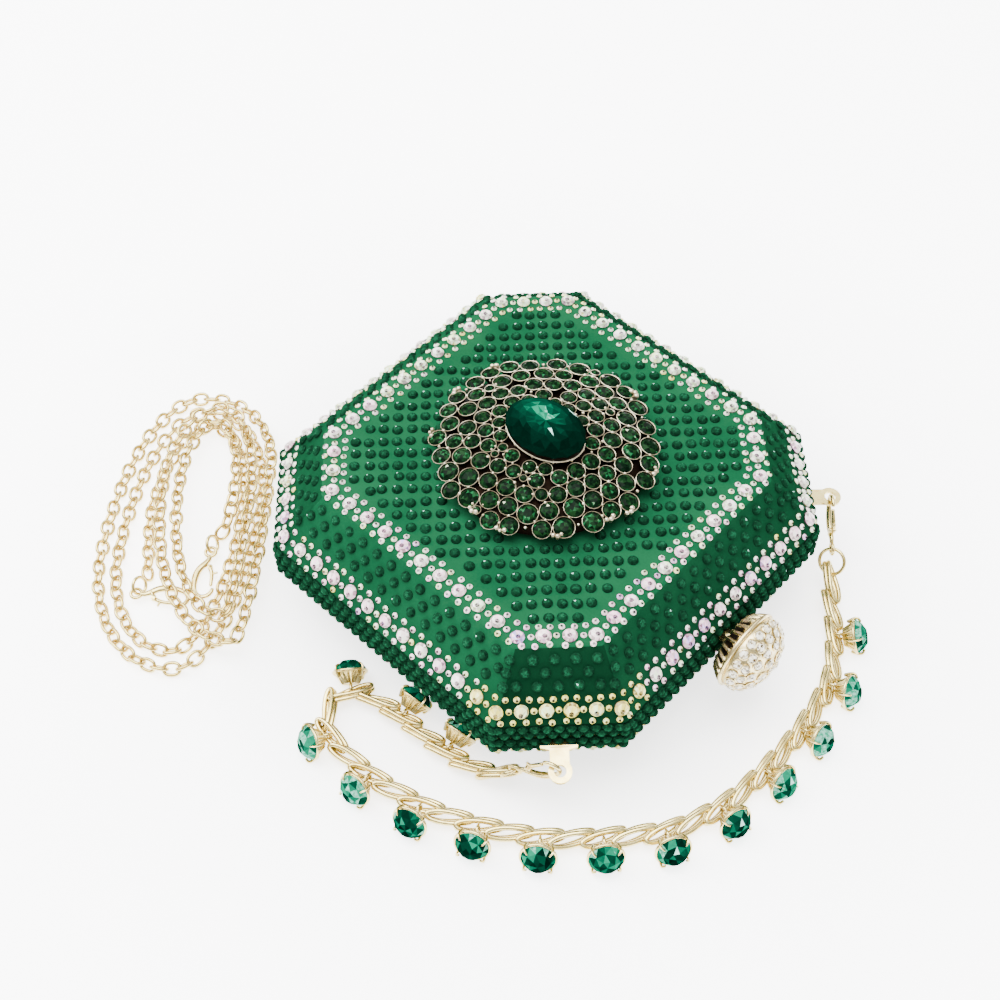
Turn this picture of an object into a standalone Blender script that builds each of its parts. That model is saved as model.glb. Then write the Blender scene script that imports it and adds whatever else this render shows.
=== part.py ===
"""Rhinestone box clutch.

A hard octagonal case lies on its back panel. A back half and a lid meet at a gold frame,
which hinges along one long side and latches behind a jewelled push knob on the other.
A domed brooch sits on the lid. A linked wrist strap with stone drops hangs between two
lugs, and a long shoulder chain lies beside the case in loose loops.

Frame: +X points to the knob, +Z up, origin on the table under the middle of the case.
Lengths are in metres and angles in degrees.
"""

import math

import bmesh
import bpy
from mathutils import Matrix, Vector

# Case outline, measured on its satin faces
WALL_HALF = 0.0750
BEVEL_RUN = 0.0166
CORNER_REACH = 0.0115
CASE_THICKNESS = 0.0540
WALL_RISE = 0.0074
SEAM_GAP = 0.0004
LAYER_GAP = 0.0003
OVERRUN = 0.0010

# Stones and the satin layers that carry them
LARGE_STONE_WIDTH = 0.0045
LARGE_STONE_HEIGHT = 0.0019
TABLE_SHARE = 0.58
FIELD_STONE_HEIGHT = 0.0014
STRIP_THICKNESS = 0.0007
STONE_SINK = 0.0002
BORDER_WIDTH = 0.0090
BORDER_PITCH = 0.0077
INNER_BORDER_WIDTH = 0.0066
INNER_LINE_INSET = 0.0028
OUTER_BORDER_RISE = 0.0046
STONE_SIDES = 5
HIDDEN_STONE_SIDES = 4

# Rows of small stones in the green fields
FIELD_CLOTH = 0.0003
FIELD_STONE_WIDTH = 0.0032
PANEL_ROW_PITCH = 0.0051
PANEL_ROW_MARGIN = 0.0013
BEVEL_ROWS = 5
WALL_ROWS = 2
ROW_GAP = 0.0002
BROOCH_SEAT_RADIUS = 0.0330
BROOCH_SEAT_SIDES = 16

# Moulded shells and their cloth linings
SHELL_WALL = 0.0018
LINING_THICKNESS = 0.0008

# Gold frame on the edge of each half
FRAME_SETBACK = 0.0003
FLANGE_THICKNESS = 0.0009
SKIRT_THICKNESS = 0.0008
SKIRT_DEPTH = 0.0030

# Hinge behind the case
HINGE_OFFSET = 0.0026
KNUCKLE_RADIUS = 0.0020
KNUCKLE_BORE = 0.00085
KNUCKLE_LENGTH = 0.0110
KNUCKLE_COUNT = 5
PIN_RADIUS = 0.0007
HINGE_CLEARANCE = 0.0004
TAB_STEP = 0.0001
ROUND_SIDES = 12

# Push knob on the front
SHAFT_RADIUS = 0.0022
SHAFT_CLEARANCE = 0.0006
SLIDE_CLEARANCE = 0.00015
SHAFT_FLANGE_RADIUS = 0.0031
SHAFT_FLANGE_THICKNESS = 0.0006
SHAFT_TIP_RADIUS = 0.0007
SHAFT_TIP_LENGTH = 0.0017
KNOB_STROKE = 0.0020
KNOB_STANDOFF = 0.0026
KNOB_RADIUS = 0.0145
KNOB_SKIRT_RADIUS = 0.0112
KNOB_SKIRT_LENGTH = 0.0036
KNOB_RIM_LENGTH = 0.0012
KNOB_DOME_RADIUS = 0.0132
KNOB_DOME_HEIGHT = 0.0104
KNOB_PLATE = 0.0012
KNOB_FLUTES = 20
KNOB_FLUTE_DEPTH = 0.0007
KNOB_SIDES = 16
KNOB_STONE_RADIUS = 0.0017
KNOB_STONE_HEIGHT = 0.0009
KNOB_STONE_RINGS = ((10, 0.26), (6, 0.58))
KNOB_SOCKET_DEPTH = 0.0022

# Latch inside the front wall
BRACKET_THICKNESS = 0.0011
BRACKET_SETBACK = 0.0035
BRACKET_HALF_WIDTH = 0.0086
BRACKET_RISE = 0.0030
BRACKET_DROP = 0.0054
FOOT_WIDTH = 0.0011
CHEEK_HALF_GAP = 0.0058
CHEEK_LENGTH = 0.0047
CHEEK_DROP = 0.0092
CHEEK_RISE = 0.0010
CHEEK_TOE = 0.0022
LATCH_PIVOT_DROP = 0.0075
LATCH_PIN_RADIUS = 0.0008
LATCH_HUB_RADIUS = 0.0017
LATCH_HUB_HALF = 0.0026
LATCH_PLATE = 0.0011
LATCH_HALF_WIDTH = 0.0046
LATCH_REACH = 0.0004
NOSE_RISE = 0.0034
NOSE_THICKNESS = 0.0015
STRIKE_THICKNESS = 0.0009
STRIKE_HALF_WIDTH = 0.0068
STRIKE_TOP = 0.0060
STRIKE_BOTTOM = 0.0005
WINDOW_HALF_WIDTH = 0.0054
WINDOW_HEIGHT = 0.0022
SPRING_RADIUS = 0.0019
SPRING_WIRE = 0.00028
SPRING_TURNS = 2
SPRING_STEPS = 10
SPRING_PITCH = 0.00100
SPRING_LEG = 0.0030

# Lugs for the strap, seated in the cut corners of the back half
LUG_DROP = 0.0025
LUG_WIDTH = 0.0058
LUG_THICKNESS = 0.0010
LUG_TENON = 0.0012
LUG_TENON_CLEARANCE = 0.0002
LUG_TENON_STEP = 0.0001
LUG_EAR_HALF_WIDTH = 0.0056
LUG_EAR_LENGTH = 0.0013
LUG_EYE_REACH = 0.0076
LUG_EYE_RADIUS = 0.0036
LUG_HOLE_RADIUS = 0.0019
FRONT_LUG_DROOP = 12.0
RIGHT_LUG_DROOP = 2.0

# Brooch on the lid
BROOCH_RADIUS = 0.0372
BROOCH_RIM_HEIGHT = 0.0012
BROOCH_CROWN = 0.0065
BROOCH_PLATE = 0.0010
BROOCH_SEGMENTS = 18
SETTING_RADIUS = 0.0026
SETTING_HEIGHT = 0.0020
SETTING_SINK = 0.0006
SETTING_RINGS = ((18, 0.455), (24, 0.620), (30, 0.790), (36, 0.960))
BEZEL_HALF_LENGTH = 0.0142
BEZEL_HALF_WIDTH = 0.0107
BEZEL_WALL = 0.0012
BEZEL_FLOOR = 0.0008
BEZEL_HEIGHT = 0.0042
CENTRE_CROWN = 0.0028
CENTRE_TABLE_SHARE = 0.56
CENTRE_GIRDLE_DROP = 0.0006
CENTRE_SEGMENTS = 20

# Wrist strap
LINK_PITCH = 0.00935
LINK_WIRE_RADIUS = 0.00095
LINK_FUSE = 0.00025
LINK_HALF_WIDTH = 0.0031
LINK_TWIST = 45.0
LINK_STEPS = 10
LINK_SIDES = 4
CUP_BACK_OFFSET = 0.0034
CUP_DEPTH = 0.0045
CUP_BACK_RADIUS = 0.0031
CUP_RADIUS = 0.0055
CUP_WALL = 0.00040
CUP_FLOOR = 0.0008
CUP_TILT = 20.0
CUP_SIDES = 6
CUP_SHOULDER = 0.0036
PRONG_LENGTH = 0.0011
DROP_FRONT_HEIGHT = 0.0054
DROP_CROWN = 0.0015
DROP_TABLE_SHARE = 0.60

# Where the strap lies, for a case of this half width
ROUTE_CASE_HALF = 0.0750
STRAP_ROUTE = (
    (0.0440, -0.0768, 0.0046),
    (0.0350, -0.0790, 0.0037),
    (0.0249, -0.0801, 0.0037),
    (0.0101, -0.0810, 0.0037),
    (-0.0020, -0.0832, 0.0037),
    (-0.0075, -0.0895, 0.0037),
    (-0.0040, -0.0972, 0.0037),
    (0.0055, -0.1010, 0.0037),
    (0.0223, -0.1008, 0.0037),
    (0.0407, -0.0968, 0.0037),
    (0.0569, -0.0898, 0.0037),
    (0.0733, -0.0795, 0.0037),
    (0.0875, -0.0659, 0.0037),
    (0.0991, -0.0517, 0.0037),
    (0.1059, -0.0340, 0.0037),
    (0.1080, -0.0154, 0.0037),
    (0.1076, 0.0030, 0.0037),
    (0.1038, 0.0225, 0.0037),
    (0.0945, 0.0378, 0.0042),
    (0.0870, 0.0465, 0.0062),
)
DROP_COUNT = 15
FIRST_DROP_LINK = 2

# Trigger clasps at the ends of the strap and of the shoulder chain
CLAW_REACH = 0.0176
CLAW_HEAD_WIRE = 0.00075
CLAW_BACK_WIRE = 0.00120
CLAW_EYE_RADIUS = 0.0018
CLAW_EYE_WIRE = 0.0006
CLAW_SIDES = 6
LEVER_PIVOT = (0.0062, 0.0009)
LEVER_WIRE = 0.00065
LEVER_HUB_RADIUS = 0.00095
LEVER_HUB_LOW = 0.00005
LEVER_HUB_HIGH = 0.00085
LEVER_BORE = 0.00050
LEVER_PIN = 0.00035
TONGUE_RADIUS = 0.00090
TONGUE_LOW = 0.00115
TONGUE_HIGH = 0.00025
THUMB_LENGTH = 0.0016
FRONT_CLAW_AIM = (0.0480, -0.0752, 0.0052)
RIGHT_CLAW_AIM = (0.0842, 0.0510, 0.0046)
FRONT_RING_AIM = (0.0500, -0.0740, 0.0066)
RIGHT_RING_AIM = (0.0821, 0.0519, 0.0080)
RING_PLAY = 0.0008
FRONT_RING_TURN = 37.0
RIGHT_RING_TURN = 33.0
CLAW_LIFT = 0.0017

# Jump rings
SMALL_RING_RADIUS = 0.0029
LARGE_RING_RADIUS = 0.0043
RING_WIRE = 0.0006
RING_STEPS = 12
RING_SIDES = 5

# Shoulder chain, laid in loops left of the case
HEAP_CENTRE = (-0.0947, -0.0800)
HEAP_TURN = 43.07
CHAIN_RADIUS = 0.0020
FLOOR_LAYER = 0.0023
UPPER_LAYER = 0.0072
QUARTER_STEPS = 5
HEAP_TURNS = (
    ("start", -0.0112, -0.0196, 0),
    ("left", -0.0136, 0.0044, 0),
    ("top", 0.0026, 0.0470, 0),
    ("right", 0.0184, 0.0119, 0),
    ("bottom", 0.0006, -0.0482, 0),
    ("left", -0.0225, -0.0105, 0),
    ("top", 0.0004, 0.0536, 0),
    ("right", 0.0246, 0.0152, 0),
    ("bottom", 0.0020, -0.0550, 0),
    ("left", -0.0285, -0.0104, 0),
    ("top", -0.0016, 0.0604, 0),
    ("right", 0.0276, 0.0227, 1),
    ("bottom", 0.0216, -0.0476, 1),
    ("left", -0.0100, 0.0175, 1),
    ("top", 0.0066, 0.0518, 1),
    ("right", 0.0214, 0.0128, 1),
    ("bottom", 0.0172, -0.0376, 1),
    ("left", -0.0041, 0.0174, 1),
    ("top", 0.0056, 0.0452, 1),
    ("right", 0.0156, 0.0173, 1),
    ("bottom", 0.0110, -0.0020, 0),
)
CLAW_TAIL_LAYER = 0.0028
CLAW_HEAD_LAYER = 0.0017
RING_LAYER = 0.0034
RING_LEAN = 25.0
FIRST_CHAIN_CLAW = ((-0.0138, -0.0260), (0.0037, -0.0279))
SECOND_CHAIN_CLAW = ((0.0094, -0.0092), (0.0083, -0.0267))

# Finishes: base colour, roughness, metallic
SATIN = ((0.010, 0.240, 0.120), 0.45, 0.0)
GREEN_STONE = ((0.004, 0.110, 0.060), 0.12, 0.0)
CLEAR_STONE = ((0.780, 0.800, 0.780), 0.08, 0.0)
EMERALD = ((0.002, 0.230, 0.130), 0.05, 0.0)
BOARD = ((0.030, 0.060, 0.045), 0.70, 0.0)
LINING = ((0.020, 0.100, 0.060), 0.85, 0.0)
PALE_GOLD = ((0.860, 0.700, 0.430), 0.22, 1.0)
ANTIQUE_GOLD = ((0.450, 0.330, 0.190), 0.35, 1.0)
STEEL = ((0.550, 0.560, 0.570), 0.30, 1.0)

SEAM = CASE_THICKNESS / 2
PANEL_HALF = WALL_HALF - BEVEL_RUN
INNER_BORDER_LINE = PANEL_HALF - INNER_LINE_INSET
INNER_BORDER_START = PANEL_HALF - INNER_BORDER_WIDTH
BEVEL_FOOT = SEAM - WALL_RISE
BEVEL_ANGLE = math.atan2(BEVEL_FOOT - LARGE_STONE_HEIGHT, BEVEL_RUN)
BEVEL_LENGTH = math.hypot(BEVEL_FOOT - LARGE_STONE_HEIGHT, BEVEL_RUN)
SHELL_DEPTH = LAYER_GAP + SHELL_WALL
LINING_DEPTH = SHELL_DEPTH + LAYER_GAP
FLANGE_TOP = SEAM - SEAM_GAP / 2
FLANGE_BOTTOM = FLANGE_TOP - FLANGE_THICKNESS
SKIRT_BOTTOM = FLANGE_BOTTOM - SKIRT_DEPTH
HINGE_X = -WALL_HALF - HINGE_OFFSET
INNER_FACE = WALL_HALF - LINING_DEPTH - SKIRT_THICKNESS
BRACKET_X = INNER_FACE - LAYER_GAP - BRACKET_SETBACK
STONE_FACE = WALL_HALF + FIELD_STONE_HEIGHT


def clear_scene():
    """Take away whatever the opening file holds."""
    for obj in list(bpy.data.objects):
        bpy.data.objects.remove(obj, do_unlink=True)


def material_of(name, finish):
    """A Principled material in one of the finishes above."""
    colour, roughness, metallic = finish
    material = bpy.data.materials.new(name)
    material.use_nodes = True
    shader = material.node_tree.nodes["Principled BSDF"]
    shader.inputs["Base Color"].default_value = (*colour, 1.0)
    shader.inputs["Roughness"].default_value = roughness
    shader.inputs["Metallic"].default_value = metallic
    material.diffuse_color = (*colour, 1.0)
    return material


def add_object(name, bm, finish, smooth_angle=None):
    """Turn a bmesh into a named object with its own material."""
    bmesh.ops.recalc_face_normals(bm, faces=bm.faces)
    mesh = bpy.data.meshes.new(name)
    bm.to_mesh(mesh)
    bm.free()
    mesh.materials.append(material_of(name, finish))
    if smooth_angle is not None:
        mesh.shade_smooth()
        mesh.set_sharp_from_angle(angle=math.radians(smooth_angle))
    obj = bpy.data.objects.new(name, mesh)
    bpy.context.scene.collection.objects.link(obj)
    return obj


def tool_object(name, bm):
    """A helper that only shapes other pieces."""
    obj = add_object(name, bm, STEEL)
    obj.hide_render = True
    obj.display_type = "WIRE"
    return obj


def boolean(obj, tool, operation):
    """Cut a tool from an object, or fuse it on."""
    modifier = obj.modifiers.new(f"{operation.lower()}_{tool.name}", "BOOLEAN")
    modifier.operation = operation
    modifier.object = tool
    modifier.solver = "EXACT"


def place_on_root(child, parent):
    """Parent a piece and leave it where it is."""
    child.parent = parent
    child.matrix_parent_inverse = parent.matrix_world.inverted()


def add_box(bm, low, high):
    """A box between two opposite corners."""
    spans = [b - a for a, b in zip(low, high)]
    middle = [(a + b) / 2 for a, b in zip(low, high)]
    matrix = Matrix.Translation(middle) @ Matrix.Diagonal((*spans, 1.0))
    bmesh.ops.create_cube(bm, size=1.0, matrix=matrix)


def add_cylinder(bm, start, end, radius, sides=ROUND_SIDES, end_radius=None):
    """A round bar, or a cone, between two points."""
    start, end = Vector(start), Vector(end)
    turn = (end - start).to_track_quat("Z", "Y").to_matrix().to_4x4()
    bmesh.ops.create_cone(
        bm,
        cap_ends=True,
        segments=sides,
        radius1=radius,
        radius2=radius if end_radius is None else end_radius,
        depth=(end - start).length,
        matrix=Matrix.Translation((start + end) / 2) @ turn,
    )


def skin(bm, rings, band=False):
    """Join rings of points into a closed skin, capped at its ends or run round as a band."""
    loops = [[bm.verts.new(point) for point in ring] for ring in rings]
    pairs = list(zip(loops, loops[1:]))
    if band:
        pairs.append((loops[-1], loops[0]))
    count = len(rings[0])
    for first, second in pairs:
        for i in range(count):
            j = (i + 1) % count
            bm.faces.new((first[i], first[j], second[j], second[i]))
    if not band:
        bm.faces.new(loops[0][::-1])
        bm.faces.new(loops[-1])


def ring_of(centre, across, up, radius, count, turn=0.0):
    """Points round a circle that lies in the plane of two unit vectors."""
    angles = [turn + 2 * math.pi * i / count for i in range(count)]
    return [centre + radius * (math.cos(a) * across + math.sin(a) * up) for a in angles]


def perpendicular(direction):
    """A unit vector square to a direction, level where that is possible."""
    side = direction.cross(Vector((0, 0, 1)))
    if side.length < 1e-6:
        side = Vector((1, 0, 0))
    return side.normalized()


def add_tube(bm, points, radii, sides):
    """A closed tube with flat ends, whose section is carried along without twisting."""
    points = [Vector(p) for p in points]
    across = perpendicular(points[1] - points[0])
    rings = []
    for i, point in enumerate(points):
        after = points[min(i + 1, len(points) - 1)]
        before = points[max(i - 1, 0)]
        along = (after - before).normalized()
        across = (across - along * across.dot(along)).normalized()
        rings.append(ring_of(point, across, along.cross(across), radii[i], sides))
    skin(bm, rings)


def add_loop(bm, points, normals, radius, sides):
    """A closed wire loop, with a normal of its plane given at each point."""
    count = len(points)
    rings = []
    for i in range(count):
        along = (points[(i + 1) % count] - points[i - 1]).normalized()
        normal = (normals[i] - along * normals[i].dot(along)).normalized()
        rings.append(ring_of(points[i], normal, along.cross(normal), radius, sides))
    skin(bm, rings, band=True)


def smooth_curve(points, spacing):
    """Even points along a smooth curve through a route's own points."""
    points = [Vector(p) for p in points]
    ends = [2 * points[0] - points[1], *points, 2 * points[-1] - points[-2]]
    fine = []
    steps = 24
    for a, b, c, d in zip(ends, ends[1:], ends[2:], ends[3:]):
        for k in range(steps):
            t = k / steps
            square = t**2 * (2 * a - 5 * b + 4 * c - d)
            cube = t**3 * (3 * b - a - 3 * c + d)
            fine.append((2 * b + t * (c - a) + square + cube) / 2)
    fine.append(points[-1])
    even, walked, wanted = [fine[0]], 0.0, spacing
    for start, end in zip(fine, fine[1:]):
        length = (end - start).length
        while walked + length >= wanted:
            even.append(start.lerp(end, (wanted - walked) / length))
            wanted += spacing
        walked += length
    return even


def octagon(half, z):
    """A level square of this half width with its corners cut, as eight points."""
    cut = 2 * half - math.sqrt(2) * (half + CORNER_REACH)
    near = half - cut
    corners = ((half, -near), (half, near), (near, half), (-near, half))
    return [Vector((x, y, z)) for x, y in corners] + [Vector((-x, -y, z)) for x, y in corners]


def panel_edge(depth):
    """Half width and height of the panel's edge, this deep under the satin."""
    return PANEL_HALF - depth * math.tan(BEVEL_ANGLE / 2), LARGE_STONE_HEIGHT + depth


def wall_foot(depth):
    """Half width and height where bevel and wall meet, this deep under the satin."""
    return WALL_HALF - depth, BEVEL_FOOT + depth * math.tan(math.pi / 4 - BEVEL_ANGLE / 2)


def on_bevel(rise, height):
    """Half width and height of a point up the bevel from its foot, standing off the satin."""
    half = WALL_HALF - rise * math.cos(BEVEL_ANGLE) + height * math.sin(BEVEL_ANGLE)
    return half, BEVEL_FOOT - rise * math.sin(BEVEL_ANGLE) - height * math.cos(BEVEL_ANGLE)


def turn_over(bm):
    """Mirror a piece of the back half through the seam, into the lid."""
    for vert in bm.verts:
        vert.co.z = CASE_THICKNESS - vert.co.z


def half_object(name, bm, finish, lid, smooth_angle=None):
    """Add a piece of one half, drawn in the back half's place."""
    if lid:
        turn_over(bm)
    return add_object(name, bm, finish, smooth_angle)


def shell(name, lid):
    """The moulded tray that gives one half its strength."""
    top = FLANGE_BOTTOM - LAYER_GAP
    outer = [panel_edge(LAYER_GAP), wall_foot(LAYER_GAP), (WALL_HALF - LAYER_GAP, top)]
    inner = [(WALL_HALF - SHELL_DEPTH, top), wall_foot(SHELL_DEPTH), panel_edge(SHELL_DEPTH)]
    bm = bmesh.new()
    skin(bm, [octagon(half, z) for half, z in outer + inner])
    return half_object(name, bm, BOARD, lid)


def lining(name, lid):
    """The cloth tray inside a shell, ending under the frame's skirt."""
    top = SKIRT_BOTTOM - LAYER_GAP
    inside = LINING_DEPTH + LINING_THICKNESS
    outer = [panel_edge(LINING_DEPTH), wall_foot(LINING_DEPTH), (WALL_HALF - LINING_DEPTH, top)]
    inner = [(WALL_HALF - inside, top), wall_foot(inside), panel_edge(inside)]
    bm = bmesh.new()
    skin(bm, [octagon(half, z) for half, z in outer + inner])
    return half_object(name, bm, LINING, lid)


def knuckles(name, lid):
    """Hinge barrels with the tabs that join them to the frame's flange."""
    bm = bmesh.new()
    whole = KNUCKLE_COUNT * KNUCKLE_LENGTH
    for i in range(1 if lid else 0, KNUCKLE_COUNT, 2):
        start = i * KNUCKLE_LENGTH - whole / 2 + HINGE_CLEARANCE / 2
        end = start + KNUCKLE_LENGTH - HINGE_CLEARANCE
        add_cylinder(bm, (HINGE_X, start, SEAM), (HINGE_X, end, SEAM), KNUCKLE_RADIUS)
    barrels = tool_object(f"{name}_barrels", bm)
    bm = bmesh.new()
    for i in range(1 if lid else 0, KNUCKLE_COUNT, 2):
        start = i * KNUCKLE_LENGTH - whole / 2 + HINGE_CLEARANCE / 2
        end = start + KNUCKLE_LENGTH - HINGE_CLEARANCE
        outer = HINGE_X + (KNUCKLE_BORE + KNUCKLE_RADIUS) / 2
        inner = -WALL_HALF + FRAME_SETBACK + SKIRT_THICKNESS
        low, high = FLANGE_BOTTOM + TAB_STEP, FLANGE_TOP - TAB_STEP
        add_box(bm, (outer, start, low), (inner, end, high))
    if lid:
        turn_over(bm)
    tabs = tool_object(f"{name}_tabs", bm)
    bm = bmesh.new()
    reach = whole / 2 + OVERRUN
    add_cylinder(bm, (HINGE_X, -reach, SEAM), (HINGE_X, reach, SEAM), KNUCKLE_BORE)
    bore = tool_object(f"{name}_bore", bm)
    return tabs, barrels, bore


def frame(name, lid):
    """The gold rim: a flange on the shell's edge, a skirt inside it and hinge knuckles."""
    outer = WALL_HALF - FRAME_SETBACK
    skirt_outer = WALL_HALF - LINING_DEPTH
    section = (
        (outer, FLANGE_TOP),
        (outer, FLANGE_BOTTOM),
        (skirt_outer, FLANGE_BOTTOM),
        (skirt_outer, SKIRT_BOTTOM),
        (INNER_FACE, SKIRT_BOTTOM),
        (INNER_FACE, FLANGE_TOP),
    )
    bm = bmesh.new()
    skin(bm, [octagon(half, z) for half, z in section], band=True)
    obj = half_object(name, bm, PALE_GOLD, lid)
    tabs, barrels, bore = knuckles(name, lid)
    boolean(obj, tabs, "UNION")
    boolean(obj, barrels, "UNION")
    boolean(obj, bore, "DIFFERENCE")
    return obj


def hinge_pin():
    """The pin through all the knuckles."""
    bm = bmesh.new()
    reach = KNUCKLE_COUNT * KNUCKLE_LENGTH / 2
    add_cylinder(bm, (HINGE_X, -reach, SEAM), (HINGE_X, reach, SEAM), PIN_RADIUS)
    return add_object("hinge_pin", bm, PALE_GOLD, smooth_angle=40)


def panel_back(name):
    """The back's flat field, level with the border's large stones so that the case stands on it."""
    half = INNER_BORDER_START - LAYER_GAP
    bm = bmesh.new()
    skin(bm, [octagon(half, 0), octagon(half, LARGE_STONE_HEIGHT)])
    return half_object(name, bm, GREEN_STONE, False)


def panel_row(bm, offset, reach, cloth, tops):
    """One straight row of stones across the panel, drawn as a ridge."""
    along = Vector((1, 1, 0)).normalized()
    across = Vector((1, -1, 0)).normalized()
    rings = []
    for z, share in ((cloth + STONE_SINK, 1), (tops, TABLE_SHARE)):
        half = share * FIELD_STONE_WIDTH / 2
        length = reach - (1 - share) * FIELD_STONE_WIDTH / 2
        corners = ((-length, -half), (length, -half), (length, half), (-length, half))
        rings.append([along * u + across * (offset + v) + Vector((0, 0, z)) for u, v in corners])
    skin(bm, rings)


def panel_rows(name):
    """The lid's flat field: rows of stones on cloth, and the round seat under the brooch."""
    half = INNER_BORDER_START - LAYER_GAP
    cloth = LARGE_STONE_HEIGHT - FIELD_CLOTH
    tops = LARGE_STONE_HEIGHT - FIELD_STONE_HEIGHT
    bm = bmesh.new()
    skin(bm, [octagon(half, cloth), octagon(half, LARGE_STONE_HEIGHT)])
    obj = half_object(name, bm, GREEN_STONE, True)
    bm = bmesh.new()
    inside = half - PANEL_ROW_MARGIN
    last = int((inside + CORNER_REACH) / PANEL_ROW_PITCH)
    for i in range(-last, last):
        offset = (i + 0.5) * PANEL_ROW_PITCH
        edge = abs(offset) + FIELD_STONE_WIDTH / 2
        reach = min(math.sqrt(2) * inside - edge, inside + CORNER_REACH)
        panel_row(bm, offset, reach, cloth, tops)
    turn_over(bm)
    boolean(obj, tool_object(f"{name}_rows", bm), "UNION")
    bm = bmesh.new()
    top = CASE_THICKNESS
    add_cylinder(bm, (0, 0, top - cloth - STONE_SINK), (0, 0, top), BROOCH_SEAT_RADIUS, BROOCH_SEAT_SIDES)
    boolean(obj, tool_object(f"{name}_seat", bm), "UNION")
    return obj


def band_between(low_rise, high_rise, height):
    """Section of a layer on the bevel between two rises."""
    return (
        on_bevel(low_rise, 0),
        on_bevel(high_rise, 0),
        on_bevel(high_rise, height),
        on_bevel(low_rise, height),
    )


def row_steps(low, high, count):
    """Distances and heights of the rows that fill a field, from its near edge to its far one."""
    pitch = (high - low) / count
    foot = pitch / 2 - ROW_GAP
    table = TABLE_SHARE * FIELD_STONE_WIDTH / 2
    steps = [(low, FIELD_CLOTH)]
    for i in range(count):
        middle = low + (i + 0.5) * pitch
        steps += [(middle - foot, FIELD_CLOTH), (middle - table, FIELD_STONE_HEIGHT)]
        steps += [(middle + table, FIELD_STONE_HEIGHT), (middle + foot, FIELD_CLOTH)]
    return [*steps, (high, FIELD_CLOTH)]


def bevel_crystals(name, lid):
    """The sloping field between the two borders, its rows of stones drawn as ridges."""
    low = LAYER_GAP + BORDER_WIDTH + LAYER_GAP
    high = BEVEL_LENGTH - LAYER_GAP
    section = [on_bevel(high, 0), on_bevel(low, 0)]
    section += [on_bevel(rise, height) for rise, height in row_steps(low, high, BEVEL_ROWS)]
    bm = bmesh.new()
    skin(bm, [octagon(half, z) for half, z in reversed(section)], band=True)
    return half_object(name, bm, GREEN_STONE, lid)


def wall_crystals(name, lid):
    """The upright field round the wall, in ridges like the bevel's and open at the hinge."""
    low, high = BEVEL_FOOT + LAYER_GAP, FLANGE_TOP - LAYER_GAP
    section = [(WALL_HALF, low)]
    section += [(WALL_HALF + height, z) for z, height in row_steps(low, high, WALL_ROWS)]
    section.append((WALL_HALF, high))
    bm = bmesh.new()
    skin(bm, [octagon(half, z) for half, z in section], band=True)
    obj = half_object(name, bm, GREEN_STONE, lid)
    bm = bmesh.new()
    half_length = KNUCKLE_COUNT * KNUCKLE_LENGTH / 2 + LAYER_GAP
    depth = KNUCKLE_RADIUS + LAYER_GAP
    outer = HINGE_X - KNUCKLE_RADIUS
    inner = -WALL_HALF + OVERRUN
    add_box(bm, (outer, -half_length, SEAM - depth), (inner, half_length, SEAM + depth))
    boolean(obj, tool_object(f"{name}_hinge_notch", bm), "DIFFERENCE")
    return obj


def border_points(line):
    """Where the large stones of a border sit: half width line, each with its side's normal."""
    corners = octagon(line, 0)
    found = []
    for i in range(8):
        start, end = corners[i], corners[(i + 1) % 8]
        count = max(round((end - start).length / BORDER_PITCH), 1)
        here = normal_of(i)
        for k in range(count):
            normal = here if k else (here + normal_of(i - 1)).normalized()
            found.append((start.lerp(end, k / count), normal))
    return found


def normal_of(side):
    """Outward normal of one side of the octagon in plan."""
    angle = side * math.pi / 4
    return Vector((math.cos(angle), math.sin(angle), 0))


def add_stone(bm, base, normal, radius, height, sides=STONE_SIDES, sink=STONE_SINK):
    """A cut stone: a short pyramid with a flat table, its foot just sunk."""
    add_cylinder(bm, base - normal * sink, base + normal * height, radius, sides, radius * TABLE_SHARE)


def add_border(name, lid, section, seats, sides):
    """A strip of satin with a row of large stones fused on it."""
    bm = bmesh.new()
    skin(bm, [octagon(half, z) for half, z in section], band=True)
    obj = half_object(name, bm, CLEAR_STONE, lid)
    bm = bmesh.new()
    height = LARGE_STONE_HEIGHT - STRIP_THICKNESS
    for base, normal in seats:
        add_stone(bm, base, normal, LARGE_STONE_WIDTH / 2, height, sides)
    if lid:
        turn_over(bm)
    boolean(obj, tool_object(f"{name}_stones", bm), "UNION")
    return obj


def inner_border(name, lid):
    """The border round the flat panel."""
    edge, _ = panel_edge(-STRIP_THICKNESS)
    low = LARGE_STONE_HEIGHT - STRIP_THICKNESS
    section = (
        (INNER_BORDER_START, LARGE_STONE_HEIGHT),
        (PANEL_HALF, LARGE_STONE_HEIGHT),
        (edge, low),
        (INNER_BORDER_START, low),
    )
    down = Vector((0, 0, -1))
    sides = STONE_SIDES if lid else HIDDEN_STONE_SIDES
    points = border_points(INNER_BORDER_LINE)
    seats = [(Vector((point.x, point.y, low)), down) for point, _ in points]
    return add_border(name, lid, section, seats, sides)


def outer_border(name, lid):
    """The border along the foot of the bevel."""
    section = band_between(LAYER_GAP, LAYER_GAP + BORDER_WIDTH, STRIP_THICKNESS)
    sides = STONE_SIDES if lid else HIDDEN_STONE_SIDES
    line, z = on_bevel(OUTER_BORDER_RISE, STRIP_THICKNESS)
    seats = []
    for point, normal in border_points(line):
        out = (normal * math.sin(BEVEL_ANGLE) - Vector((0, 0, math.cos(BEVEL_ANGLE)))).normalized()
        seats.append((Vector((point.x, point.y, z)), out))
    return add_border(name, lid, section, seats, sides)


def knob_notch():
    """The round way through both walls for the knob's shaft."""
    bm = bmesh.new()
    radius = SHAFT_RADIUS + SHAFT_CLEARANCE
    start = (INNER_FACE - OVERRUN, 0, SEAM)
    add_cylinder(bm, start, (STONE_FACE + OVERRUN, 0, SEAM), radius)
    return tool_object("knob_notch", bm)


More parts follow.
